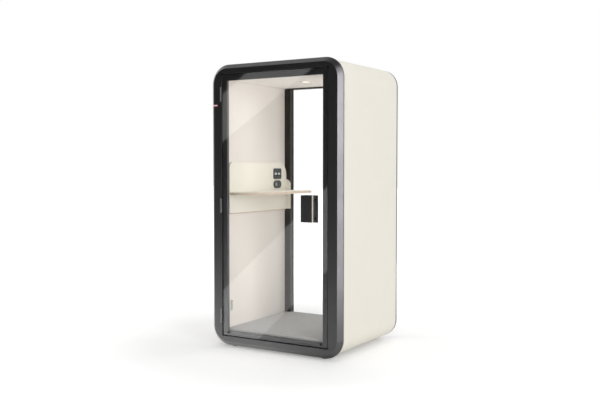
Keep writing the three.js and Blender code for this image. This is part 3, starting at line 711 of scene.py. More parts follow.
@dataclass(frozen=True)
class PaneFinish(Finish):
    """Clear glass with dark ground edges, which lets lamps through to what stands behind it."""

    clear: Colour = (0.99, 0.994, 0.992)
    edge: Colour = (0.02, 0.026, 0.024)
    edge_roughness: float = 0.5
    edge_slope: float = 0.9

    def shader(self, graph: Graph) -> bpy.types.NodeSocket:
        """Glass for the eye, plain transparency for lamps and for light that has bounced off a wall.

        Faces that turn away from front and back by more than the edge slope are ground edges.

        Args:
            graph: Tree of the material.

        Returns:
            The shader's output.
        """
        inputs = {
            "Base Color": (*self.clear, 1),
            "Roughness": self.roughness,
            "IOR": self.index,
            "Transmission Weight": 1.0,
        }
        glass = graph.add("BsdfPrincipled", inputs)
        open_way = graph.add("BsdfTransparent", {"Color": (*self.clear, 1)})
        rays = graph.add("LightPath").outputs
        mirrored = graph.math("SUBTRACT", rays["Is Glossy Ray"], rays["Is Transmission Ray"])
        bounced = graph.math("MAXIMUM", rays["Is Diffuse Ray"], mirrored)
        unseen = graph.math("MAXIMUM", rays["Is Shadow Ray"], bounced)
        clear = graph.add("MixShader", {0: unseen, 1: glass.outputs[0], 2: open_way.outputs[0]})
        facing = graph.add("SeparateXYZ", {0: graph.add("TexCoord").outputs["Normal"]}).outputs[1]
        inputs = {"Base Color": (*self.edge, 1), "Roughness": self.edge_roughness}
        ground = graph.add("BsdfPrincipled", inputs)
        rim = graph.math("LESS_THAN", graph.math("ABSOLUTE", facing), self.edge_slope)
        return graph.add("MixShader", {0: rim, 1: clear.outputs[0], 2: ground.outputs[0]}).outputs[0]


@dataclass(frozen=True)
class GlowFinish(Finish):
    """A lit lens, brightest along its middle line."""

    core: Colour = (1.0, 0.9, 0.9)
    strength: float = 1.0
    line: float = 0.0
    reach: float = 0.005

    def shader(self, graph: Graph) -> bpy.types.NodeSocket:
        """The glow turns from the core colour to the lens colour with the height from the middle line.

        Args:
            graph: Tree of the material.

        Returns:
            The shader's output.
        """
        height = graph.add("SeparateXYZ", {0: graph.place()}).outputs[2]
        away = graph.math("ABSOLUTE", graph.math("SUBTRACT", height, self.line))
        glow = graph.blend(graph.spread(away, 0, 1, 0, self.reach), self.core, self.colour)
        inputs = {
            "Base Color": (*self.colour, 1),
            "Roughness": self.roughness,
            "Emission Color": glow,
            "Emission Strength": self.strength,
            "Normal": self.relief(graph),
        }
        return graph.add("BsdfPrincipled", inputs).outputs[0]


ANTHRACITE = Finish(
    "anthracite_powder_coat", "anthracite", (0.0125, 0.0122, 0.0125), 0.33, tone=0.08, index=2.1
)
FRAME_PAINT = Finish("frame_paint", "anthracite", (0.02, 0.017, 0.013), 0.5, tone=0.08, index=1.4)
CREAM = Finish("cream_laminate", "cream", (0.815, 0.785, 0.70), 0.72, tone=0.012, grain=0.0005, depth=0.00003)
FELT = FeltFinish("pressed_felt", "felt", (0.79, 0.74, 0.688), 0.92, tone=0.02, depth=0.0002, sheen=0.15)
CARPET = CarpetFinish("loop_carpet", "carpet", (0.372, 0.364, 0.36), 1.0, tone=0.3, depth=0.0015, sheen=0.2)
WOOL = FeltFinish("mineral_wool", "wool", (0.17, 0.18, 0.19), 1.0, tone=0.2, depth=0.0006)
BOARD = PlyFinish("veneered_board", "board", (0.53, 0.41, 0.315), 0.55, depth=0.00006)
STEEL = BrushedFinish(
    "satin_steel", "steel", (0.28, 0.28, 0.285), 0.34, tone=0.02, grain=0.0005, depth=0.00001, metallic=1.0
)
BLACK_STEEL = BrushedFinish("blackened_steel", "steel", (0.03, 0.03, 0.032), 0.4, grain=0.0005, metallic=1.0)
RUBBER = Finish("moulded_rubber", "rubber", (0.013, 0.013, 0.014), 0.8, tone=0.1, index=1.3)
BLACK_PLASTIC = Finish("black_plastic", "black_plastic", (0.042, 0.042, 0.044), 0.45, tone=0.08)
GREY_PLASTIC = Finish("grey_plastic", "grey_plastic", (0.24, 0.247, 0.25), 0.45, tone=0.06)
PALE_PLASTIC = Finish("pale_plastic", "grey_plastic", (0.5, 0.495, 0.485), 0.5, tone=0.04)
WHITE_PLASTIC = Finish("white_plastic", "grey_plastic", (0.68, 0.7, 0.71), 0.45, tone=0.03)
PANE = PaneFinish("clear_pane", "pane", (1.0, 1.0, 1.0), 0.0)
LAMP = GlowFinish("lamp_lens", "glow", (0.9, 0.86, 0.78), 0.4, strength=0.95, core=(0.97, 0.93, 0.86))
STATUS = GlowFinish(
    "status_lens", "red_glow", (0.2, 0.055, 0.075), 0.35, core=(1.2, 0.85, 0.92), line=1.9417, reach=0.0055
)


# Putting pieces into the scene


def new_mesh(name: str, points: np.ndarray, faces: list[list[int]]) -> bpy.types.Mesh:
    """Make a mesh.

    Args:
        name: Its name.
        points: Its points, the last axis of length 3.
        faces: Point numbers of each face.

    Returns:
        The new mesh.
    """
    mesh = bpy.data.meshes.new(name)
    mesh.from_pydata(points.reshape(-1, 3).tolist(), [], faces)
    return mesh


def new_object(name: str, data: bpy.types.ID) -> bpy.types.Object:
    """Put a mesh, lamp or camera into the scene.

    Args:
        name: Name of the object.
        data: What it shows.

    Returns:
        The new object.
    """
    made = bpy.data.objects.new(name, data)
    bpy.context.scene.collection.objects.link(made)
    return made


def round_rims(piece: bpy.types.Object, rim: float) -> None:
    """Round the sharp edges of a piece.

    Args:
        piece: Piece to round.
        rim: Width of the rounded edge.
    """
    bevel = piece.modifiers.new("rims", "BEVEL")
    bevel.width = rim
    bevel.segments = RIM_SEGMENTS
    bevel.limit_method = "ANGLE"
    bevel.angle_limit = FACET_ANGLE


def dress(finish: Finish, nodes: Iterable[str], rim: float = 0.0) -> None:
    """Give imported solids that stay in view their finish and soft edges.

    Args:
        finish: Finish of the solids.
        nodes: Names of the solids.
        rim: Width of their rounded edges, or 0 for edges left as they are.
    """
    for node in nodes:
        solid = bpy.data.objects[node]
        solid.data.materials.clear()
        solid.data.materials.append(finish.material())
        if rim:
            solid.modifiers.new("weld", "WELD").merge_threshold = WELD_GAP
            round_rims(solid, rim)
        LOG.info("dressed %s in %s", node, finish.name)


def add_piece(
    name: str, surface: Surface, finish: Finish, body: Body = Body.POD, stands_for: Sequence[str] = ()
) -> bpy.types.Object:
    """Make a closed surface into a piece that rides on a body.

    Args:
        name: Name of the piece.
        surface: Its points and faces.
        finish: Its finish.
        body: Body that it moves with.
        stands_for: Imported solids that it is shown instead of.

    Returns:
        The new object.
    """
    mesh = new_mesh(name, surface.points, surface.faces)
    shell = bmesh.new()
    shell.from_mesh(mesh)
    bmesh.ops.recalc_face_normals(shell, faces=shell.faces)
    shell.to_mesh(mesh)
    shell.free()
    return settle(name, mesh, finish, body, stands_for)


def settle(
    name: str, mesh: bpy.types.Mesh, finish: Finish, body: Body, stands_for: Sequence[str]
) -> bpy.types.Object:
    """Shade a mesh, dress it and tie it to its body.

    Args:
        name: Name of the piece.
        mesh: Its mesh.
        finish: Its finish.
        body: Body that it moves with.
        stands_for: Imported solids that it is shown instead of.

    Returns:
        The new object.
    """
    mesh.shade_smooth()
    mesh.set_sharp_from_angle(angle=FACET_ANGLE)
    mesh.materials.append(finish.material())
    piece = new_object(name, mesh)
    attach(piece, body.value)
    if stands_for:
        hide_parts(*stands_for)
    LOG.info("built %s: %d faces on body %s", name, len(mesh.polygons), body.value)
    return piece


def even_normals(piece: bpy.types.Object) -> None:
    """Keep large faces flat where they meet a rounded edge."""
    weighted = piece.modifiers.new("even_normals", "WEIGHTED_NORMAL")
    weighted.keep_sharp = True


# Sub-assemblies


@dataclass
class FrontRing:
    """The dark ring round the doorway, with its chamfer and the pocket of the status light."""

    corner: float = 0.155
    chamfer: float = 0.035
    bend: float = 0.004
    rim: float = 0.0015
    door_gap: float = 0.004
    light_gap: float = 0.0003
    pocket_depth: float = 0.031
    jamb_rim: float = 0.001

    def outline(self, step: float) -> np.ndarray:
        """Outer outline moved inwards by a step, with two extra points beside the status light.

        Args:
            step: Distance from the outermost outline.

        Returns:
            Points of the closed outline.
        """
        box = Box.of("front_frame")
        return self.with_stops(rectangle(*box.front(step), self.corner - step), box.low[0] + step)

    def opening(self, step: float) -> np.ndarray:
        """Outline of the doorway moved outwards by a step, with the same extra points.

        Args:
            step: Distance from the doorway's outline.

        Returns:
            Points of the closed outline.
        """
        leaf = Box.of("door_glass")
        grow = self.door_gap + step
        return self.with_stops(rectangle(*leaf.front(-grow)), leaf.low[0] - grow)

    def with_stops(self, outline: np.ndarray, x: float) -> np.ndarray:
        """Add the heights of the pocket's two ends to the left side of an outline.

        Args:
            outline: Outline that ends at its upper left corner.
            x: Place of its left side.

        Returns:
            The outline with two more points.
        """
        low, high = Box.of("status_light").span(2)
        stops = [[x, high + self.light_gap], [x, low - self.light_gap]]
        return np.concatenate([outline, np.array(stops)])

    def rows(self) -> tuple[np.ndarray, int, int]:
        """Rows of the ring's section: its face from the pocket on, the chamfer, the back and the doorway.

        The path of the section gives a step inwards and a level for each row of the outer outline.

        Returns:
            The rows, and the numbers of the rows at the pocket's inner and outer end.
        """
        ring = Box.of("front_frame")
        light = Box.of("status_light")
        front, back = ring.span(1)
        inner_end = light.high[0] + self.light_gap - ring.low[0]
        outer_end = light.low[0] - self.light_gap - ring.low[0]
        inner = 2 * self.chamfer
        section = np.array([
            [self.chamfer, front],
            [0, front + self.chamfer],
            [0, back],
            [inner, back],
            [inner, front],
        ])
        bends = rounded(section, [self.bend, self.bend, self.rim, self.rim, self.rim], EDGE_STEPS + 1)
        count = EDGE_STEPS + 2
        path = np.concatenate([
            [[inner_end, front]],
            bends[:count],
            [[outer_end, front + self.chamfer - outer_end]],
            bends[count:3 * count],
        ])
        outside = [Plane.UPRIGHT.place(self.outline(step), y) for step, y in path]
        insets, levels = edge_rows(front, back, self.rim)
        inside = [Plane.UPRIGHT.place(self.opening(step), y) for step, y in zip(insets, levels)]
        return np.array(outside + inside[::-1]), 0, count + 1

    def build(self) -> None:
        """Make the ring with a pocket, and dress the light and the stop behind it."""
        rows, first, last = self.rows()
        index = numbered(rows)
        quads = grid_faces(np.concatenate([index, index[:1]]), closed=True)
        kept = np.ones(quads.shape[:2], dtype=bool)
        kept[first:last, -2] = False
        mouth = np.concatenate([index[first:last + 1, -2], index[first:last + 1, -1][::-1]])
        floor = rows.reshape(-1, 3)[mouth]
        floor[:, 1] = Box.of("front_frame").low[1] + self.pocket_depth
        numbers = index.size + np.arange(len(mouth))
        walls = grid_faces(np.stack([mouth, numbers]), closed=True).reshape(-1, 4)
        points = np.concatenate([rows.reshape(-1, 3), floor])
        faces = [*quads[kept].tolist(), *walls.tolist(), numbers.tolist()]
        piece = add_piece("front_ring", Surface(points, faces), ANTHRACITE, stands_for=["front_frame"])
        even_normals(piece)
        dress(STATUS, ["status_light"])
        dress(ANTHRACITE, ["door_jamb"], self.jamb_rim)
        dress(RUBBER, ["door_seal"])


@dataclass
class Shell:
    """The two cream halves of the outer shell and the dark trim round its rear edge."""

    corner: float = 0.147
    thickness: float = 0.018
    rim: float = 0.002
    seam: float = 0.00015
    fit: float = 0.0003
    hole_half: float = 0.0085
    inlet_flange: float = 0.005
    trim_rim: float = 0.002
    rebate: float = 0.0147

    def holes(self, side: Side) -> list[tuple[Span, Span, bool]]:
        """Openings in one half: spans in X and Y, and whether they are in the roof.

        Args:
            side: Half of the shell.

        Returns:
            One entry for each foot, and one for the roof grille or the mains inlet.
        """
        name = side.name.lower()
        feet = [Box.of(f"foot_{end.value}_{name}").middle for end in End]
        half = self.hole_half
        found = [((p[0] - half, p[0] + half), (p[1] - half, p[1] + half), False) for p in feet]
        node, margin = ("power_inlet", self.inlet_flange) if side is Side.LEFT else ("roof_grille", -self.fit)
        box = Box.of(node)
        across, along = [(box.low[axis] + margin, box.high[axis] - margin) for axis in (0, 1)]
        return [*found, (across, along, True)]

    def path(self, side: Side) -> np.ndarray:
        """Half of the outer outline, with a stop at each edge of an opening.

        At an angle a of a round corner, the outline has gone r sin a outwards and r (1 - cos a) upwards.

        Args:
            side: Half of the shell.

        Returns:
            Points from the middle of the underside, round the wall, to the middle of the roof.
        """
        box = Box.of(f"{side.name.lower()}_shell")
        wall = max(abs(box.low[0]), abs(box.high[0]))
        z0, z1 = box.span(2)
        holes = self.holes(side)
        under = sorted(abs(x) for across, _, roof in holes if not roof for x in across)
        over = sorted((abs(x) for across, _, roof in holes if roof for x in across), reverse=True)
        turn = np.linspace(0, math.pi / 2, ARC_STEPS + 1)
        arc = self.corner * np.stack([np.sin(turn), 1 - np.cos(turn)], axis=-1)
        start = wall - self.corner
        lower = arc + [start, z0]
        upper = arc[::-1] * [1, -1] + [start, z1]
        flat = [[self.seam, z0], *[[x, z0] for x in dict.fromkeys(under)]]
        roof = [*[[x, z1] for x in over], [self.seam, z1]]
        return np.concatenate([np.array(flat), lower, upper, np.array(roof)]) * [side.value, 1]

    def half(self, side: Side) -> None:
        """Make one half: its outline carried from front to rear, open at the holes, then thickened.

        Args:
            side: Half of the shell.
        """
        name = side.name.lower()
        box = Box.of(f"{name}_shell")
        holes = self.holes(side)
        stops = {y for _, along, _ in holes for y in along} | set(box.span(1))
        levels = np.array(sorted(stops))
        path = self.path(side)
        points = np.stack([Plane.UPRIGHT.place(path, y) for y in levels])
        quads = grid_faces(numbered(points), closed=False)
        middle = points.reshape(-1, 3)[quads].mean(axis=2)
        kept = np.ones(quads.shape[:2], dtype=bool)
        for (x0, x1), (y0, y1), roof in holes:
            inside_x = (middle[..., 0] > x0) & (middle[..., 0] < x1)
            inside_y = (middle[..., 1] > y0) & (middle[..., 1] < y1)
            kept &= ~(inside_x & inside_y & ((middle[..., 2] > box.middle[2]) == roof))
        faces = quads[kept]
        if side is Side.RIGHT:
            faces = faces[:, ::-1]
        mesh = new_mesh(f"{name}_wall", points, faces.tolist())
        piece = settle(f"{name}_wall", mesh, CREAM, Body.POD, [f"{name}_shell"])
        solid = piece.modifiers.new("thickness", "SOLIDIFY")
        solid.thickness = self.thickness
        solid.offset = -1
        solid.use_even_offset = True
        round_rims(piece, self.rim)
        even_normals(piece)

    def build(self) -> None:
        """Make both halves and the rear trim, and dress the filling."""
        for side in Side:
            self.half(side)
        trim = Box.of("rear_trim")
        window = Box.of("rear_glass_gasket")
        outer = rectangle(*trim.front(), self.corner)
        inner = rectangle(*window.front(self.rebate))
        surface = hoop(outer, inner, Plane.UPRIGHT, trim.span(1), self.trim_rim)
        even_normals(add_piece("rear_surround", surface, FRAME_PAINT, stands_for=["rear_trim"]))
        dress(WOOL, ["left_core", "right_core", "roof_core"])


@dataclass
class Base:
    """The timber base, the floor board and the levelling feet."""

    foot_rim: float = 0.006
    foot_neck: float = 0.016
    foot_stem: float = 0.008
    edge: float = 0.0015
    fit: float = 0.0003
    board_rim: float = 0.001

    def foot(self, name: str) -> None:
        """Make one foot: a disc with a sloped top and a stem, turned about its own axis.

        Args:
            name: Solid that it stands for.
        """
        box = Box.of(name)
        radius = box.size(0) / 2
        neck = Box.of("left_shell").low[2] - self.fit
        middle = self.edge * ROUND_MIDDLE
        profile = np.array([
            [radius - self.edge, 0],
            [radius - middle, middle],
            [radius, self.edge],
            [radius, self.foot_rim - self.edge],
            [radius - self.edge, self.foot_rim],
            [self.foot_neck + self.edge, neck - self.edge / 2],
            [self.foot_neck, neck],
            [self.foot_stem, neck],
            [self.foot_stem, box.high[2] - self.edge],
            [self.foot_stem - self.edge, box.high[2]],
        ])
        surface = turned(profile, Plane.FLAT, box.middle[:2])
        even_normals(add_piece(f"{name}_pad", surface, RUBBER, stands_for=[name]))

    def build(self) -> None:
        """Make the feet and dress the base."""
        for end in End:
            for side in Side:
                self.foot(f"foot_{end.value}_{side.name.lower()}")
        dress(BOARD, ["base_frame", "floor_deck"], self.board_rim)


@dataclass
class Cabin:
    """Linings, ceiling, carpet, ceiling light and air inlet of the inside."""

    pile_cell: float = 0.006
    pile_wave: float = 0.0007
    pile_waves: tuple[Span, ...] = ((61, 17), (-29, 43), (97, 71))
    pile_curl: float = 0.012
    pile_drop: float = 0.003
    bezel_rim: float = 0.0012
    bezel_wall: float = 0.04
    lens_dome: float = 0.0008
    tongue_margin: float = 0.015
    jamb_lap: float = 0.022
    nosing_drop: float = 0.001
    nosing_rim: float = 0.0015
    fit: float = 0.0003
    lining_rim: float = 0.001
    grille_rim: float = 0.0006

    def pile(self) -> None:
        """Make the carpet: a grid whose height waves a little and curls down towards its rim.

        The height under the top is the drop times (1 - d / c) squared for a distance d from the rim below
        the curl c, plus a sum of sines of the place. The rear part, between the rear frame's uprights, is
        narrower.
        """
        box = Box.of("carpet")
        tongue_half = Box.of("rear_glass_gasket").high[0] - self.tongue_margin
        rear = Box.of("left_lining").high[1]
        xs, ys = [np.linspace(*box.span(axis), round(box.size(axis) / self.pile_cell)) for axis in (0, 1)]
        xs = np.sort(np.append(xs, [-tongue_half, tongue_half]))
        ys = np.sort(np.append(ys, rear))
        x, y = np.meshgrid(xs, ys)
        half = np.where(y > rear + TOUCH, tongue_half, box.high[0])
        rim = np.minimum(half - np.abs(x), np.minimum(y - box.low[1], box.high[1] - y))
        corner = np.where(np.abs(x) > tongue_half, rear - y, box.high[1] - y)
        rim = np.clip(np.minimum(rim, corner), 0, self.pile_curl)
        drop = self.pile_drop * (1 - rim / self.pile_curl) ** 2
        waves = sum(1 + np.sin(across * x + along * y) for across, along in self.pile_waves)
        z = box.high[2] - drop - self.pile_wave * waves / (2 * len(self.pile_waves))
        top = np.stack([x, y, z], axis=-1)
        low = top.copy()
        low[..., 2] = box.low[2]
        quads = grid_faces(numbered(top), closed=False)
        middle = top.reshape(-1, 3)[quads].mean(axis=2)
        kept = (np.abs(middle[..., 0]) < tongue_half) | (middle[..., 1] < rear)
        upper = quads[kept]
        lower = upper[:, ::-1] + x.size
        sides = np.concatenate([np.stack([upper[:, i], upper[:, (i + 1) % 4]], axis=-1) for i in range(4)])
        keys = np.sort(sides, axis=1)
        _, first, count = np.unique(keys, axis=0, return_index=True, return_counts=True)
        rims = sides[first[count == 1]]
        walls = np.concatenate([rims[:, ::-1], rims + x.size], axis=1)
        faces = np.concatenate([upper, lower, walls])
        surface = Surface(np.concatenate([top.reshape(-1, 3), low.reshape(-1, 3)]), faces.tolist())
        piece = add_piece("carpet_pile", surface, CARPET, stands_for=["carpet"])
        box.size(0)
        box.size(1)

    def threshold(self) -> None:
        """Make the pale nosing that covers the floor's front edge in the doorway."""
        jamb, pane = Box.of("door_jamb"), Box.of("door_glass")
        half = pane.high[0] - self.jamb_lap - self.fit
        y = (jamb.low[1] + self.fit, jamb.high[1])
        z = (pane.low[2] + self.jamb_lap + self.fit, Box.of("carpet").high[2] - self.nosing_drop)
        surface = plate(rectangle((-half, half), y, self.nosing_rim), Plane.FLAT, z, self.nosing_rim)
        add_piece("threshold", surface, PALE_PLASTIC)

    def lamp(self) -> None:
        """Make the ceiling light: a can with a rounded bezel and a domed lens, both turned.

        At an angle a of the lens, the radius is r sin a, and the height is the dome times 1 - cos a.
        """
        can = Box.of("downlight_can")
        lens = Box.of("downlight_lens")
        outer = can.size(0) / 2
        radius = lens.size(0) / 2
        bore = radius + self.fit
        rim = self.bezel_rim
        middle = rim * ROUND_MIDDLE
        low, shoulder, wall = can.low[2], Box.of("ceiling_panel").low[2] - self.fit, self.bezel_wall
        profile = np.array([
            [bore, low + rim],
            [bore + middle, low + middle],
            [bore + rim, low],
            [outer - rim, low],
            [outer - middle, low + middle],
            [outer, low + rim],
            [outer, shoulder],
            [wall, shoulder],
            [wall, can.high[2]],
            [bore, can.high[2]],
        ])
        centre = can.middle[:2]
        surface = turned(profile, Plane.FLAT, centre, hollow=True)
        even_normals(add_piece("lamp_can", surface, CREAM, stands_for=["downlight_can"]))
        turn = np.linspace(0, math.pi / 2, DOME_STEPS + 1)[1:]
        dome = [radius * np.sin(turn), lens.low[2] + self.lens_dome * (1 - np.cos(turn))]
        profile = np.concatenate([np.stack(dome, axis=-1), [[radius, lens.high[2]]]])
        add_piece("lamp_lens", turned(profile, Plane.FLAT, centre), LAMP, stands_for=["downlight_lens"])

    def build(self) -> None:
        """Make the carpet, its nosing and the lamp, and dress the rest of the inside."""
        self.pile()
        self.threshold()
        self.lamp()
        dress(FELT, ["left_lining", "right_lining", "ceiling_panel"], self.lining_rim)
        dress(CREAM, ["low_vent", "ceiling_grille"], self.grille_rim)


@dataclass
class RearWindow:
    """The fixed pane at the rear, its frame and its gasket."""

    frame_rim: float = 0.0012
    pane_rim: float = 0.0008

    def build(self) -> None:
        """Dress the rear window."""
        dress(FRAME_PAINT, ["rear_frame"], self.frame_rim)
        dress(PANE, ["rear_glass"], self.pane_rim)
        dress(RUBBER, ["rear_glass_gasket"])


@dataclass
class Door:
    """The door leaf: pane, border frame, bolts and the two pull handles."""

    sheet: float = 0.004
    flange: float = 0.036
    outer_bend: float = 0.0045
    inner_bend: float = 0.001
    end: float = 0.0015
    rim: float = 0.0008
    cap_head: float = 0.003
    cap_shaft: float = 0.004
    cap_crown: float = 0.0018
    cap_start: float = 0.15
    cap_flat: float = 0.6
    # Thickness and rim of the pale strip that paints a highlight on the outer handle's step.
    trim: float = 0.0006
    trim_rim: float = 0.0002
    pane_rim: float = 0.0008
    frame_rim: float = 0.001
    bolt_rim: float = 0.0005

    def pull(self, face: Face) -> None:
        """Make a pull handle: a stepped strip with round bends, carried upwards.

        Args:
            face: Face of the glass that it sits on.
        """
        node = f"handle_{face.name.lower()}"
        box = Box.of(node)
        x0, x1 = box.span(0)
        seat, grip = box.span(1)[::face.value]
        web1 = x1 - self.flange
        web0 = web1 - self.sheet
        step = face.value * self.sheet
        corners = np.array([
            [x0, grip],
            [web1, grip],
            [web1, seat + step],
            [x1, seat + step],
            [x1, seat],
            [web0, seat],
            [web0, grip - step],
            [x0, grip - step],
        ])
        end, near, far = self.end, self.inner_bend, self.outer_bend
        outline = rounded(corners, [end, far, near, end, end, far, near, end], BEND_STEPS)
        surface = plate(outline[::-face.value], Plane.FLAT, box.span(2), self.rim)
        even_normals(add_piece(f"{node}_strip", surface, ANTHRACITE, Body.DOOR, [node]))

    def lay_painted_highlight(self) -> None:
        """Lay a thin pale strip on the side of the outer handle's step, a painted highlight along the bend of
        the dark handle.
        """
        box = Box.of("handle_outer")
        x = box.high[0] - self.flange
        y = (box.low[1] + self.outer_bend + self.trim, box.high[1] - self.sheet - self.inner_bend - self.trim)
        z = (box.low[2] + self.rim, box.high[2] - self.rim)
        surface = plate(rectangle((x, x + self.trim), y, self.trim_rim), Plane.FLAT, z, self.trim_rim)
        add_piece("handle_trim", surface, CREAM, Body.DOOR)

    def cap(self, side: Side) -> None:
        """Make a round-headed cap bolt of the glass, turned about Y.

        From the face to the side, a row of drops c (1 - sin a) sets the crown in from the side, and the same
        row backwards sets it back from the face.

        Args:
            side: Lower corner of the door that it sits in.
        """
        node = f"glass_bolt_{side.name.lower()}"
        box = Box.of(node)
        radius = box.size(0) / 2
        turn = np.linspace(self.cap_start, math.pi / 2, BEND_STEPS)
        drop = self.cap_crown * (1 - np.sin(turn))
        crown = np.stack([radius - drop, box.low[1] + drop[::-1]], axis=-1)
        head = box.low[1] + self.cap_head
        tail = [[radius, head], [self.cap_shaft, head], [self.cap_shaft, box.high[1]]]
        profile = np.concatenate([[[radius * self.cap_flat, box.low[1]]], crown, tail])
        surface = turned(profile, Plane.UPRIGHT, box.middle[[0, 2]])
        even_normals(add_piece(f"{node}_cap", surface, RUBBER, Body.DOOR, [node]))

    def build(self) -> None:
        """Make the handles with the painted highlight on the outer one, and the caps, and dress the leaf."""
        for face in Face:
            self.pull(face)
        self.lay_painted_highlight()
        for side in Side:
            self.cap(side)
        dress(PANE, ["door_glass"], self.pane_rim)
        dress(ANTHRACITE, ["door_frame"], self.frame_rim)
        dress(BLACK_STEEL, ["handle_bolt_lower", "handle_bolt_upper"], self.bolt_rim)


@dataclass
class Hinges:
    """Three barrel hinges, each with a leaf on the ring, a leaf on the door and a pin."""

    barrel: float = 0.007
    bore: float = 0.0036
    middle_knuckle: float = 0.04
    knuckle_gap: float = 0.0003
    leaf: float = 0.0015
    leaf_rim: float = 0.0003
    leaf_relief: float = 0.0078
    link: float = 0.003
    rim: float = 0.0008
    pin: float = 0.0032
    pin_head: float = 0.003

    def knuckle(self, axis: np.ndarray, levels: Span) -> Surface:
        """A tube round the hinge's axis, whose radius is the barrel less the insets of rounded ends.

        Args:
            axis: The hinge's axis in X and Y.
            levels: Lowest and highest level.

        Returns:
            The closed surface.
        """
        insets, heights = edge_rows(*levels, self.rim)
        outside = np.stack([self.barrel - insets, heights], axis=-1)
        profile = np.concatenate([outside, [[self.bore, levels[1]], [self.bore, levels[0]]]])
        return turned(profile, Plane.FLAT, axis, hollow=True)

    def leaf_surface(self, node: str, axis: np.ndarray, knuckles: Sequence[Span]) -> Surface:
        """A leaf: a plate in the door gap, with an angled link out to each knuckle.

        Args:
            node: Solid that gives the leaf's place.
            axis: The hinge's axis in X and Y.
            knuckles: Lowest and highest level of each knuckle.

        Returns:
            The leaf's parts as one surface.
        """
        box = Box.of(node)
        x1, y1 = box.high[0], box.high[1]
        x0 = x1 - self.leaf
        y0 = axis[1] - self.link / 2
        thin = self.leaf_rim
        blade = rectangle((x0, x1), (axis[1] + self.leaf_relief, y1), thin)
        parts = [plate(blade, Plane.FLAT, box.span(2), thin)]
        angle = np.array([
            [axis[0] + self.bore, y0],
            [x1, y0],
            [x1, y1],
            [x0, y1],
            [x0, y0 + self.link],
            [axis[0] + self.bore, y0 + self.link],
        ])
        for levels in knuckles:
            parts.append(self.knuckle(axis, levels))
            parts.append(plate(rounded(angle, thin, EDGE_STEPS), Plane.FLAT, levels, thin))
        return Surface.joined(parts)

    def hinge(self, place: Place) -> None:
        """Make the two leaves and the pin of one hinge.

        Args:
            place: Which hinge.
        """
        stem = f"hinge_{place.value}"
        box = Box.of(f"{stem}_frame_leaf")
        pin = Box.of(f"{stem}_pin")
        axis = pin.middle[:2]
        z0, z1 = box.span(2)
        middle = box.middle[2]
        low, high = middle - self.middle_knuckle / 2, middle + self.middle_knuckle / 2
        outer = [(z0, low - self.knuckle_gap), (high + self.knuckle_gap, z1)]
        frame_leaf = self.leaf_surface(f"{stem}_frame_leaf", axis, outer)
        door_leaf = self.leaf_surface(f"{stem}_door_leaf", axis, [(low, high)])
        add_piece(f"{stem}_ring_half", frame_leaf, STEEL, Body.POD, [f"{stem}_frame_leaf"])
        add_piece(f"{stem}_leaf_half", door_leaf, STEEL, Body.DOOR, [f"{stem}_door_leaf"])
        radius = pin.size(0) / 2
        soft = self.rim
        z0, z1 = pin.span(2)
        profile = np.array([
            [radius - soft, z0],
            [radius, z0 + soft],
            [radius, z0 + self.pin_head],
            [self.pin, z0 + self.pin_head],
            [self.pin, z1 - self.pin_head],
            [radius, z1 - self.pin_head],
            [radius, z1 - soft],
            [radius - soft, z1],
        ])
        add_piece(f"{stem}_pin_rod", turned(profile, Plane.FLAT, axis), STEEL, Body.POD, [f"{stem}_pin"])

    def build(self) -> None:
        """Make all three hinges."""
        for place in Place:
            self.hinge(place)


@dataclass
class Desk:
    """The desk board with its laminate, and the boards that carry it."""

    corner: float = 0.18
    plain: float = 0.001
    board_rim: float = 0.0015
    laminate_rim: float = 0.0004
    carrier_rim: float = 0.0012
    # Size of the dark board strip that paints the shade line under the backboard.
    shadow_lip: float = 0.007

    def slab(self, name: str, node: str, finish: Finish, rim: float) -> None:
        """Make a flat board with one large round corner at the front.

        Args:
            name: Name of the piece.
            node: Solid that it stands for.
            finish: Its finish.
            rim: Radius of its rims.
        """
        box = Box.of(node)
        outline = rectangle(box.span(0), box.span(1), [self.plain, self.corner, self.plain, self.plain])
        surface = plate(outline, Plane.FLAT, box.span(2), rim)
        even_normals(add_piece(name, surface, finish, stands_for=[node]))

    def paint_shadow_lip(self) -> None:
        """Set a strip of bare board under the backboard's lower edge, darker than the cream, which paints the
        shade line under that edge.
        """
        box = Box.of("desk_backboard")
        y = (box.low[1] + self.shadow_lip, box.high[1] - self.shadow_lip)
        z = (box.low[2] - self.shadow_lip, box.low[2])
        surface = plate(rectangle(y, z, self.board_rim), Plane.SIDEWAYS, box.span(0), self.laminate_rim)
        add_piece("backboard_lipping", surface, BOARD)

    def build(self) -> None:
        """Make the board and its face and the painted shade line under the backboard, and dress what carries
        them.
        """
        self.slab("desk_top_board", "desk_board", BOARD, self.board_rim)
        self.slab("desk_top_face", "desk_laminate", CREAM, self.laminate_rim)
        self.paint_shadow_lip()
        dress(CREAM, ["desk_backboard", "desk_rear_bracket", "desk_rail"], self.carrier_rim)


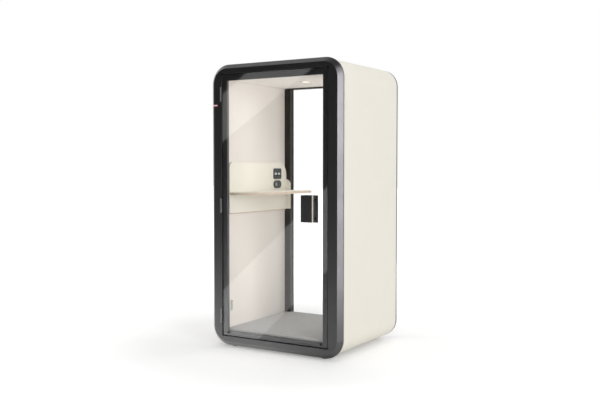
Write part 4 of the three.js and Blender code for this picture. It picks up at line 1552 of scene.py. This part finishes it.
@dataclass
class Modules:
    """The power sockets and the push buttons on the backboard."""

    button_rim: float = 0.0015
    dish: float = 0.0006
    dish_core: float = 0.05
    # Dark discs that paint the shade in the pin holes: radius, inner radius, spacing, rise and crown.
    hole_shade: float = 0.0024
    hole_shade_core: float = 0.00192
    pin_gap: float = 0.019
    hole_shade_proud: float = 0.0004
    hole_shade_crown: float = 0.0006
    recess: float = 0.015
    carrier: Point = (0.0385, 0.018, 0.0115)
    carrier_end: float = 0.00882
    carrier_rim: float = 0.0008
    outlet_gap: float = 0.05
    plate_rim: float = 0.001
    insert_rim: float = 0.0006

    def button(self, body: Body, finish: Finish) -> None:
        """Make a push button with a rounded rim and a slight dish, turned about X.

        At a share s of the dish's radius, the face lies the dish times 1 - s squared under the rim.

        Args:
            body: Body that it moves with, which has the name of the solid that it stands for.
            finish: Its finish.
        """
        node = body.value
        box = Box.of(node)
        radius = box.size(1) / 2
        rim = self.button_rim
        turn = np.linspace(0, math.pi / 2, BEND_STEPS)
        shoulder = [radius - rim * (1 - np.cos(turn)), box.high[0] - rim * (1 - np.sin(turn))]
        share = np.linspace(1, self.dish_core, DOME_STEPS)[1:]
        hollow = [(radius - rim) * share, box.high[0] - self.dish * (1 - share**2)]
        curves = [np.stack(curve, axis=-1) for curve in (shoulder, hollow)]
        profile = np.concatenate([[[radius, box.low[0]]], *curves])
        surface = turned(profile, Plane.SIDEWAYS, box.middle[1:])
        add_piece(f"{node}_cap", surface, finish, body, [node])

    def sockets(self) -> None:
        """Set a pale pin carrier into each socket: a bar with round ends, and two raised dark discs that
        paint the shade of its pin holes.
        """
        insert = Box.of("socket_insert")
        floor = insert.high[0] - self.recess
        length, height, rise = self.carrier
        top = floor + rise
        z = insert.middle[2]
        hole = np.array([
            [self.hole_shade, top],
            [self.hole_shade, top + self.hole_shade_proud],
            [self.hole_shade_core, top + self.hole_shade_crown],
        ])
        bars, holes = [], []
        for outlet in Side:
            y = insert.middle[1] + outlet.value * self.outlet_gap / 2
            along, up = (y - length / 2, y + length / 2), (z - height / 2, z + height / 2)
            outline = rectangle(along, up, self.carrier_end)
            bars.append(plate(outline, Plane.SIDEWAYS, (floor, top), self.carrier_rim))
            for pin in Side:
                holes.append(turned(hole, Plane.SIDEWAYS, (y + pin.value * self.pin_gap / 2, z)))
        add_piece("socket_carriers", Surface.joined(bars), WHITE_PLASTIC)
        add_piece("socket_contacts", Surface.joined(holes), RUBBER)

    def build(self) -> None:
        """Make the buttons and the sockets' pin carriers, and dress the plates."""
        self.button(Body.LIGHT_BUTTON, GREY_PLASTIC)
        self.button(Body.FAN_BUTTON, BLACK_PLASTIC)
        self.sockets()
        dress(BLACK_PLASTIC, ["socket_plate", "control_plate"], self.plate_rim)
        dress(BLACK_PLASTIC, ["socket_insert"], self.insert_rim)


@dataclass
class Roof:
    """Grille, fans, lamp driver and mains inlet over the ceiling."""

    rim: float = 0.0008
    fine_rim: float = 0.0004

    def build(self) -> None:
        """Dress the roof's pieces."""
        dress(ANTHRACITE, ["roof_grille"], self.rim)
        dress(BLACK_PLASTIC, ["fan_tray", "power_inlet"], self.rim)
        dress(GREY_PLASTIC, ["fan_1_rotor", "fan_2_rotor", "driver_box"], self.fine_rim)


@dataclass(frozen=True)
class Lamp:
    """A flat lamp: its name, its middle, the point it faces, its width and height, and its watts."""

    name: str
    place: Point
    aim: Point
    size: Span
    power: float


@dataclass
class Studio:
    """Camera, pale floor, soft lamps and surroundings."""

    camera_place: Point = (3.4263, -5.66985, 1.45872)
    camera_tilt: float = -2.44
    camera_turn: float = 31.51
    lens: float = 48.476
    sensor: float = 36.0
    floor_half: float = 40.0
    floor_colour: Colour = (0.86, 0.86, 0.86)
    near_lift: float = 0.236
    far_lift: float = 0.956
    lift_span: Span = (1.2, 4.5)
    front_fade: float = 0.12
    fade_span: Span = (-6.0, -0.6)
    mirror_fade: float = 0.15
    left_glow: float = 0.63
    glow_slant: Point = (1.0, -0.612, 0.0)
    glow_span: Span = (0.12, 0.75)
    ambient: float = 0.548
    backdrop: float = 1.0
    behind_glass: float = 1.2
    front_gloss: float = 0.012
    gloss_span: Span = (-0.1, 0.25)
    lamps: tuple[Lamp, ...] = (
        Lamp("key", (10.1, -5.8, 2.75), (0.3, -0.2, 1.2), (2.9, 5.4), 484.0),
        Lamp("overhead", (0.0, -0.8, 5.5), (0.0, -0.5, 0.0), (4.0, 4.0), 52.0),
        Lamp("front", (1.0, -6.0, 1.0), (0.0, 0.0, 1.2), (4.0, 1.5), 25.0),
        Lamp("rear", (0.5, 5.0, 2.0), (0.0, 0.0, 1.2), (4.0, 4.0), 118.0),
        Lamp("cabin_low", (0.0, 0.0, 0.25), (0.0, 0.0, 2.2), (0.6, 0.5), 0.3),
        Lamp("cabin_side", (0.40, 0.13, 1.3), (-0.5, 0.18, 1.3), (0.6, 1.6), 3.8),
    )
    downlight: Lamp = Lamp("downlight", (0.08, 0.22, 2.13), (0.0, 0.24, 0.0), (0.06, 0.06), 1.1)
    beam: float = 1.6
    cards: tuple[Lamp, ...] = (
        Lamp("card_top", (2.285, -1.51, 3.65), (0.585, -0.47, 3.65), (0.54, 1.5), 8.9),
        Lamp("card_high", (2.285, -1.51, 2.225), (0.585, -0.47, 2.225), (0.54, 1.35), 19.5),
        Lamp("card_middle", (2.285, -1.51, 1.05), (0.585, -0.47, 1.05), (0.54, 1.0), 10.6),
        Lamp("card_low", (2.285, -1.51, 0.285), (0.585, -0.47, 0.285), (0.54, 0.53), 4.1),
    )
    card_tint: Colour = (1.0, 0.95, 1.0)
    bands: tuple[tuple[Span, ...], ...] = (
        ((-0.716, 1.907), (-0.122, 2.31), (0.459, 2.286), (-0.719, 1.529)),
        ((-0.822, 0.185), (0.588, 1.433), (0.714, 0.928), (-0.248, 0.02), (-0.822, 0.02)),
    )
    band_level: float = -0.56
    band_glow: float = 0.92

    def camera(self) -> None:
        """Stand the camera where the photograph was taken from."""
        data = bpy.data.cameras.new("camera")
        data.lens = self.lens
        data.sensor_width = self.sensor
        viewer = new_object("camera", data)
        viewer.location = self.camera_place
        viewer.rotation_euler = (math.radians(90 + self.camera_tilt), 0, math.radians(self.camera_turn))
        bpy.context.scene.camera = viewer

    def thrown_back(self, graph: Graph, depth: int = 0) -> bpy.types.NodeSocket:
        """1 for a sharp ray that a pane mirrors on either face, 0 for all rays that only pass through it.

        The turns are a whole number, so the test lies halfway to the next one.

        Args:
            graph: Tree that asks.
            depth: Ray depth of a ray that met nothing, which is 0 on a surface and 1 in the world.

        Returns:
            The answer's output.
        """
        rays = graph.add("LightPath").outputs
        turns = graph.math("SUBTRACT", rays["Ray Depth"], rays["Transmission Depth"])
        return graph.math("MULTIPLY", rays["Is Singular Ray"], graph.math("GREATER_THAN", turns, depth + 0.5))

    def seen(self, graph: Graph, glass: float = 1.0, depth: int = 0) -> bpy.types.NodeSocket:
        """How bright a white backdrop shows: 1 to the eye, another level through glass, 0 to other rays.

        Args:
            graph: Tree that asks.
            glass: Level through glass.
            depth: Ray depth of a ray that met nothing.

        Returns:
            The level's output.
        """
        rays = graph.add("LightPath").outputs
        straight = graph.math("SUBTRACT", 1, self.thrown_back(graph, depth))
        through = graph.math("MULTIPLY", rays["Is Transmission Ray"], straight)
        return graph.math("MAXIMUM", rays["Is Camera Ray"], graph.math("MULTIPLY", through, glass))

    def world(self) -> None:
        """Light the room evenly, with a white backdrop for the eye and for gloss that looks back at it."""
        world = bpy.data.worlds.new("room")
        bpy.context.scene.world = world
        world.use_nodes = True
        graph = Graph(world.node_tree)
        rays = graph.add("LightPath").outputs
        white = graph.math("MULTIPLY", self.seen(graph, self.behind_glass, 1), self.backdrop)
        along = graph.add("SeparateXYZ", {0: graph.add("TexCoord").outputs["Generated"]}).outputs[1]
        gloss = graph.spread(along, self.front_gloss, self.backdrop, *self.gloss_span)
        level = graph.add("Mix", {"Factor": rays["Is Glossy Ray"], "A": self.ambient, "B": gloss}).outputs[0]
        shown = graph.add("Mix", {"Factor": self.seen(graph, depth=1), "A": level, "B": white}).outputs[0]
        light = graph.add("Background", {"Color": (1, 1, 1, 1), "Strength": shown})
        graph.add("OutputWorld", {"Surface": light.outputs[0]})

    def floor_shader(self, graph: Graph) -> bpy.types.NodeSocket:
        """White to the eye, with the pod's shadow; to satin it fades towards the front and glows on the left.

        Args:
            graph: Tree of the floor's material.

        Returns:
            The shader's output.
        """
        rays = graph.add("LightPath").outputs
        mirror = self.thrown_back(graph)
        sharp = graph.math("MAXIMUM", rays["Is Transmission Ray"], rays["Is Singular Ray"])
        satin = graph.math("MULTIPLY", rays["Is Glossy Ray"], graph.math("SUBTRACT", 1, sharp))
        ahead = graph.add("SeparateXYZ", {0: graph.place()}).outputs[1]
        fade = graph.spread(ahead, self.front_fade, 1, *self.fade_span)
        dim = graph.math("MULTIPLY", satin, graph.math("SUBTRACT", 1, fade))
        dark = graph.math("MAXIMUM", dim, graph.math("MULTIPLY", mirror, 1 - self.mirror_fade))
        paint = graph.add("BsdfDiffuse", {"Color": graph.blend(dark, self.floor_colour, (0, 0, 0))})
        away = graph.add("VectorMath", {0: graph.place()}, operation="LENGTH").outputs["Value"]
        level = graph.spread(away, self.near_lift, self.far_lift, *self.lift_span)
        across = graph.add("VectorMath", {0: graph.place(), 1: self.glow_slant}, operation="DOT_PRODUCT")
        glow = graph.spread(across.outputs["Value"], self.left_glow, 0, *self.glow_span)
        side = graph.math("MULTIPLY", satin, graph.math("MULTIPLY", glow, fade))
        lift = graph.math("ADD", graph.math("MULTIPLY", self.seen(graph), level), side)
        shine = graph.add("Emission", {"Strength": lift})
        return graph.add("AddShader", {0: paint.outputs[0], 1: shine.outputs[0]}).outputs[0]

    def floor(self) -> None:
        """Lay a pale floor."""
        made, graph = new_material("studio_floor")
        graph.add("OutputMaterial", {"Surface": self.floor_shader(graph)})
        half = self.floor_half
        corners = np.array([[-half, -half], [half, -half], [half, half], [-half, half]])
        self.panel("floor", Plane.FLAT.place(corners, 0.0), made)

    def panel(self, name: str, corners: np.ndarray, made: bpy.types.Material) -> bpy.types.Object:
        """Put up one flat face of the studio.

        Args:
            name: Its name.
            corners: Its corners in order, n by 3.
            made: Its material.

        Returns:
            The new object.
        """
        mesh = new_mesh(name, corners, [list(range(len(corners)))])
        mesh.materials.append(made)
        face = new_object(name, mesh)
        return face

    def hang(self, lamp: Lamp) -> bpy.types.Object:
        """Hang a flat lamp that no eye sees.

        Args:
            lamp: Its place, aim, size and power.

        Returns:
            The new object.
        """
        data = bpy.data.lights.new(lamp.name, "AREA")
        data.shape = "RECTANGLE"
        data.size, data.size_y = lamp.size
        data.energy = lamp.power
        hung = new_object(lamp.name, data)
        hung.location = lamp.place
        away = np.array(lamp.aim) - np.array(lamp.place)
        flat = math.hypot(away[0], away[1])
        hung.rotation_euler = (math.atan2(flat, -away[2]), 0, math.atan2(-away[0], away[1]))
        hung.visible_camera = False
        hung.visible_transmission = False
        return hung

    def light(self) -> None:
        """Hang the soft lamps and the narrow downlight, and the cards that only gloss shows."""
        soft = [self.hang(lamp) for lamp in (*self.lamps, self.downlight)]
        for lamp in soft:
            lamp.visible_glossy = False
        soft[-1].data.spread = self.beam
        for card in [self.hang(lamp) for lamp in self.cards]:
            card.visible_diffuse = False
            card.data.color = self.card_tint

    def reflect(self) -> None:
        """Hang slanted bands of light in front of the door, which only its glass mirrors."""
        made, graph = new_material("light_band")
        sharp = graph.add("LightPath").outputs["Is Singular Ray"]
        glow = graph.add("Emission", {"Strength": graph.math("MULTIPLY", sharp, self.band_glow)})
        behind = graph.add("BsdfTransparent")
        both = graph.add("AddShader", {0: behind.outputs[0], 1: glow.outputs[0]})
        graph.add("OutputMaterial", {"Surface": both.outputs[0]})
        for number, corners in enumerate(self.bands):
            points = Plane.UPRIGHT.place(np.array(corners), self.band_level)
            band = self.panel(f"band_{number}", points, made)
            band.visible_camera = False
            band.visible_diffuse = False
            band.visible_shadow = False
            band.visible_transmission = False

    def build(self) -> None:
        """Set up the view, the floor and the light."""
        bpy.context.scene.view_settings.view_transform = "Standard"
        self.camera()
        self.world()
        self.floor()
        self.light()
        self.reflect()


def main() -> None:
    """Load the frame, then build every sub-assembly and the studio."""
    logging.basicConfig(level=logging.INFO, format="%(name)s: %(message)s")
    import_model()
    parts = [FrontRing(), Shell(), Base(), Cabin(), RearWindow(), Door(), Hinges(), Desk(), Modules(), Roof()]
    for part in parts:
        part.build()
    Studio().build()


if __name__ == "__main__":
    main()
